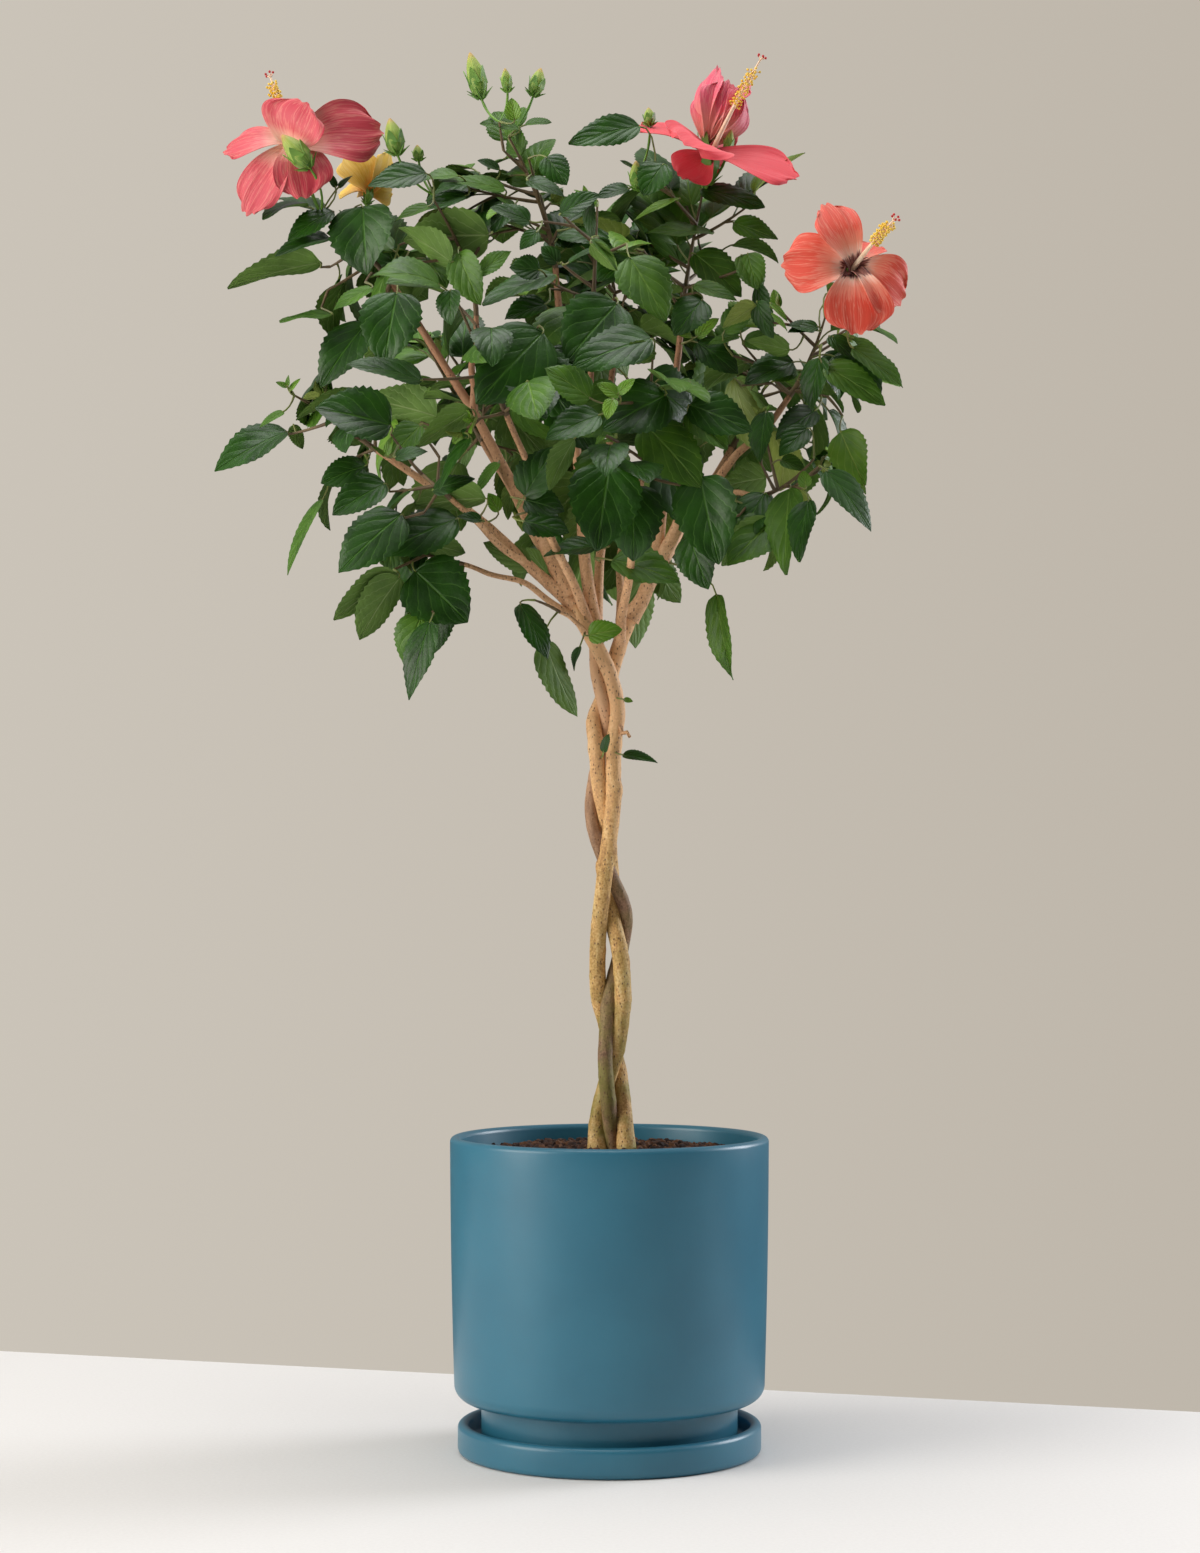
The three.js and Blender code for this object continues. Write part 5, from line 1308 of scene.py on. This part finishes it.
def stalkPart(foot, way, wood, radius=1.5):
    # The flower's own stalk: from the nearest wood, up under the calyx, with a joint past its middle.
    root = wood[np.argmin(((wood - foot) ** 2).sum(axis=1))]
    line = bezier(root, foot - way * np.linalg.norm(foot - root) * 0.5, foot + way * 2, 9)
    swell = 1 + 0.25 * np.exp(-(np.arange(10) - 6.0) ** 2 * 2)
    return tubes(line[None], (radius * swell)[None], 8)


def makePetals(name, bloom, seed):
    # The petals of one bloom; gives back its middle and the way it faces.
    middle = np.array(bloom["middle"], float)
    grids = petalGrids(bloom, seed) + middle
    uv = np.tile(gridUv(*grids.shape[1:3]), (2 * len(grids), 1))
    shell, skin = sheets(grids, petalShape["thickness"]), petalSkin(*bloom["skin"])
    settle(putMesh(name, [shell], [skin], uv), "foliage")
    return middle, unit(np.array(bloom["face"], float))


def makeBlooms(wood, green, cream, anther, stigma):
    greens, creams, anthers, pads = [], [], [], []
    for seed, (name, bloom) in enumerate(blooms.items(), 3):
        middle, way = makePetals(name, bloom, seed)
        for kind, parts in zip((creams, anthers, pads), columnParts(bloom)):
            kind += movedTo(parts, middle, bloom["column"])
        size = np.linalg.norm(bloom["petals"][0][:3]) * calyxShape["size"]
        greens += movedTo(calyxParts(size, size * calyxShape["length"]), middle - way * 0.5, way)
        greens.append(stalkPart(middle - way * size * 2.7, way, wood))
    for name, parts, material in (("bloomGreens", greens, green), ("bloomColumns", creams, cream),
                                  ("bloomAnthers", anthers, anther), ("bloomStigmas", pads, stigma)):
        settle(putMesh(name, parts, [material]), "foliage")


def makeBuds(wood, green):
    # Rolled petals as a tube whose radius swells and is ridged in a spiral: r (1 + ridge sin(5a + 3t)).
    rolls, uvs, greens = [], [], []
    t = np.linspace(0, 1, 16)[:, None]
    angle = np.arange(15) * 2 * np.pi / 15
    swell = np.sin(np.pi * (0.12 + 0.86 * t) ** 0.8) ** 0.8
    ridges = 1 + budShape["ridge"] * np.sin(5 * angle + 3 * t)
    for foot, tip, radius, isOpen in buds:
        foot = np.array(foot, float)
        way, length = unit(tip - foot), np.linalg.norm(tip - foot)
        rolls.append(tubes((foot + way * t * length)[None], (radius * swell * ridges)[None], 15))
        uvs.append(np.stack(np.broadcast_arrays(angle[None, :] / 6.283, t), axis=-1).reshape(-1, 2))
        calyx = calyxParts(radius * budShape["size"], length * budShape["length"])
        calyx = movedTo(calyx, foot + way * length * budShape["at"], way)
        greens += calyx if isOpen else calyx[1:]
        greens.append(stalkPart(foot, way, wood, budShape["stalk"]))
    settle(putMesh("budPetals", rolls, [petalSkin(*budSkin)], np.concatenate(uvs)), "foliage")
    settle(putMesh("budGreens", greens, [green]), "foliage")


def makeSpent(wood, green):
    middle, way = makePetals("bloomSpent", wilted, 12)
    size, length = wilted["calyxMm"]
    spent = movedTo(calyxParts(size, length), middle, way) + [stalkPart(middle - way * length, way, wood)]
    settle(putMesh("spentGreens", spent, [green]), "foliage")


# Floor, backdrop and lights
floor = {"tones": ("#dedcda", "#e2e0de"), "grainMm": 3, "leftEdge": (-627.0, 534.0),
         "rightEdge": (538.0, 182.0), "reach": 3600.0}
backdrop = {"left": "#cbc4b9", "right": "#beb6aa", "front": "#3b3a38", "above": "#b9b6b2", "behind": 0.3}
# Lights: place, the height on the trunk that each is aimed at, size, power and colour.
lights = {"key": ((-2900, -1300, 1350), 600, 2400, 89, "#fffaf2"),
          "rim": ((2700, 1000, 1300), 500, 1600, 72, "#f7f9ff"),
          "top": ((-300, -300, 3300), 900, 2000, 50, "#ffffff")}


def makeFloor():
    # Matt paper whose far edge runs as it does in the photo.
    material, tree, shader = newMaterial("matPaper", Roughness=0.85)
    where = addNode(tree, "TexCoord", out="Object")
    grain = addNode(tree, "TexNoise", {"Vector": where, "Scale": perMm(floor["grainMm"]), "Detail": 2})
    dark, light = floor["tones"]
    tone = addNode(tree, "ValToRGB", {0: grain}, stops=[(0.3, dark), (0.7, light)])
    finishWith(tree, shader, tone, grain, 0.05)
    (x1, y1), (x2, y2), reach = floor["leftEdge"], floor["rightEdge"], floor["reach"]
    slope = (y2 - y1) / (x2 - x1)
    corners = np.array([(-reach, -reach, 0), (reach, -reach, 0), (reach, y2 + slope * (reach - x2), 0),
                        (-reach, y1 + slope * (-reach - x1), 0)], float)
    putMesh("floor", [(corners, [np.array([[0, 1, 2, 3]])])], [material])


def makeLight(name, place, aimHeight, size, power, colour):
    data = bpy.data.lights.new(name, "AREA")
    data.shape = "DISK"
    data.size = size * mm
    data.energy = power
    data.color = linear(colour)[:3]
    light = bpy.data.objects.new(name, data)
    turn = faceFrame(np.array(place, float) - (0, 0, aimHeight))
    rows = [[*turn[:, k], place[k] * mm] for k in range(3)]
    light.matrix_world = Matrix([*rows, [0, 0, 0, 1]])
    bpy.context.scene.collection.objects.link(light)


def makeWorld():
    # The backdrop's soft fall-off from left to right for the eye, a soft white that comes from above
    # and behind for the light.
    world = bpy.data.worlds.new("backdrop")
    bpy.context.scene.world = world
    world.use_nodes = True
    tree = world.node_tree
    way = addNode(tree, "TexCoord", out="Generated")
    across, back, high = (addNode(tree, "SeparateXYZ", {0: way}, axis) for axis in "XYZ")
    run = addNode(tree, "MapRange", {"Value": across, "From Min": -0.22, "From Max": 0.22})
    wall = addNode(tree, "ValToRGB", {0: run}, stops=[(0.0, backdrop["left"]), (1.0, backdrop["right"])])
    lift = addNode(tree, "Math", {0: back, 1: backdrop["behind"], 2: high}, operation="MULTIPLY_ADD")
    soft = addNode(tree, "ValToRGB", {0: lift}, stops=[(0.0, backdrop["front"]), (0.9, backdrop["above"])])
    seen = addNode(tree, "LightPath", out="Is Camera Ray")
    colour = addNode(tree, "Mix", {0: seen, 6: soft, 7: wall}, 2, data_type="RGBA")
    tree.links.new(colour, tree.nodes["Background"].inputs["Color"])
    bpy.context.scene.view_settings.view_transform = "Standard"


# Colours: two tones and the roughness of soft growth, and where they aren't the usual ones its grain and
# relief; base, shade, pale and the share of warm painted light under the fork, of bark; dark, light, vein,
# roughness and coat of leaves.
softTones = {"pottingSoil": ("#33201a", "#4b3024", 0.95, 18, 0.6), "greenTwig": ("#5c4a34", "#6d5a3c", 0.65),
             "leafStalk": ("#6b6a3c", "#7d8a45", 0.5), "calyxGreen": ("#568429", "#6f9a37", 0.5, 30),
             "columnCream": ("#f6dcc0", "#f3c9a4", 0.5), "antherYellow": ("#e9bd3a", "#f2d365", 0.8),
             "stigmaRed": ("#b3252c", "#cf3d3a", 0.6)}
crumbTones = (("#3a241b", "#4d3122"), ("#52331f", "#6b4830"), ("#231611", "#33211a"))
barkTones = {"tanBark": ("#cfa263", "#a47643", "#eaca92", 0.75),
             "brownBark": ("#80604a", "#624535", "#a17c62", 0.7),
             "youngBark": ("#c4956b", "#966b47", "#e0b890", 0.4)}
leafTones = {"darkLeaf": ("#153506", "#25500b", "#437022", 0.42, 0.1),
             "midLeaf": ("#355a12", "#4b731c", "#6c9138", 0.47, 0.06),
             "youngLeaf": ("#4e7a16", "#6b9428", "#92ad4c", 0.42, 0.15),
             "leafUnderside": ("#52702e", "#67883b", "#8ea566", 0.6, 0.0),
             "youngUnderside": ("#7b8f3e", "#8fa04b", "#aebb6e", 0.6, 0.0)}

# Putting it together
makeWorld()
makeFloor()
for name, light in lights.items():
    makeLight(name, *light)
print("floor and lights ready")

teal = glazedStoneware("satinGlazedStoneware")
makeSaucer(teal)
makePot(teal)
soft = {name: softGreen(name, *tones) for name, tones in softTones.items()}
makeSoil(soft["pottingSoil"],
         [softGreen(f"soilCrumb{k}", *tones, 0.95, 6, 0.5) for k, tones in enumerate(crumbTones, 1)])

limbs = growLimbs()
makeLimbs(limbs, *(smoothBark(name, *tones) for name, tones in barkTones.items()))

twigs, leaves = growCrown(limbs)
print("crown grown:", len(twigs), "twigs", len(leaves), "leaves")
makeTwigs(twigs, soft["greenTwig"])
skins = {name: leafSkin(name, *tones) for name, tones in leafTones.items()}
sprays = {shade: [found for found in leaves if found["shade"] == shade] for shade in ("dark", "mid", "young")}
sprays["young"] += sprigLeaves(twigs)
makeLeaves("leavesDark", sprays["dark"], skins["darkLeaf"], skins["leafUnderside"], masses)
makeLeaves("leavesMid", sprays["mid"], skins["midLeaf"], skins["leafUnderside"], [])
makeLeaves("leavesYoung", sprays["young"], skins["youngLeaf"], skins["youngUnderside"], [])
makeStalks(leaves, soft["leafStalk"])

wood = np.concatenate([twig["line"] for twig in twigs])
makeBlooms(wood, soft["calyxGreen"], soft["columnCream"], soft["antherYellow"], soft["stigmaRed"])
makeBuds(wood, soft["calyxGreen"])
makeSpent(wood, soft["calyxGreen"])
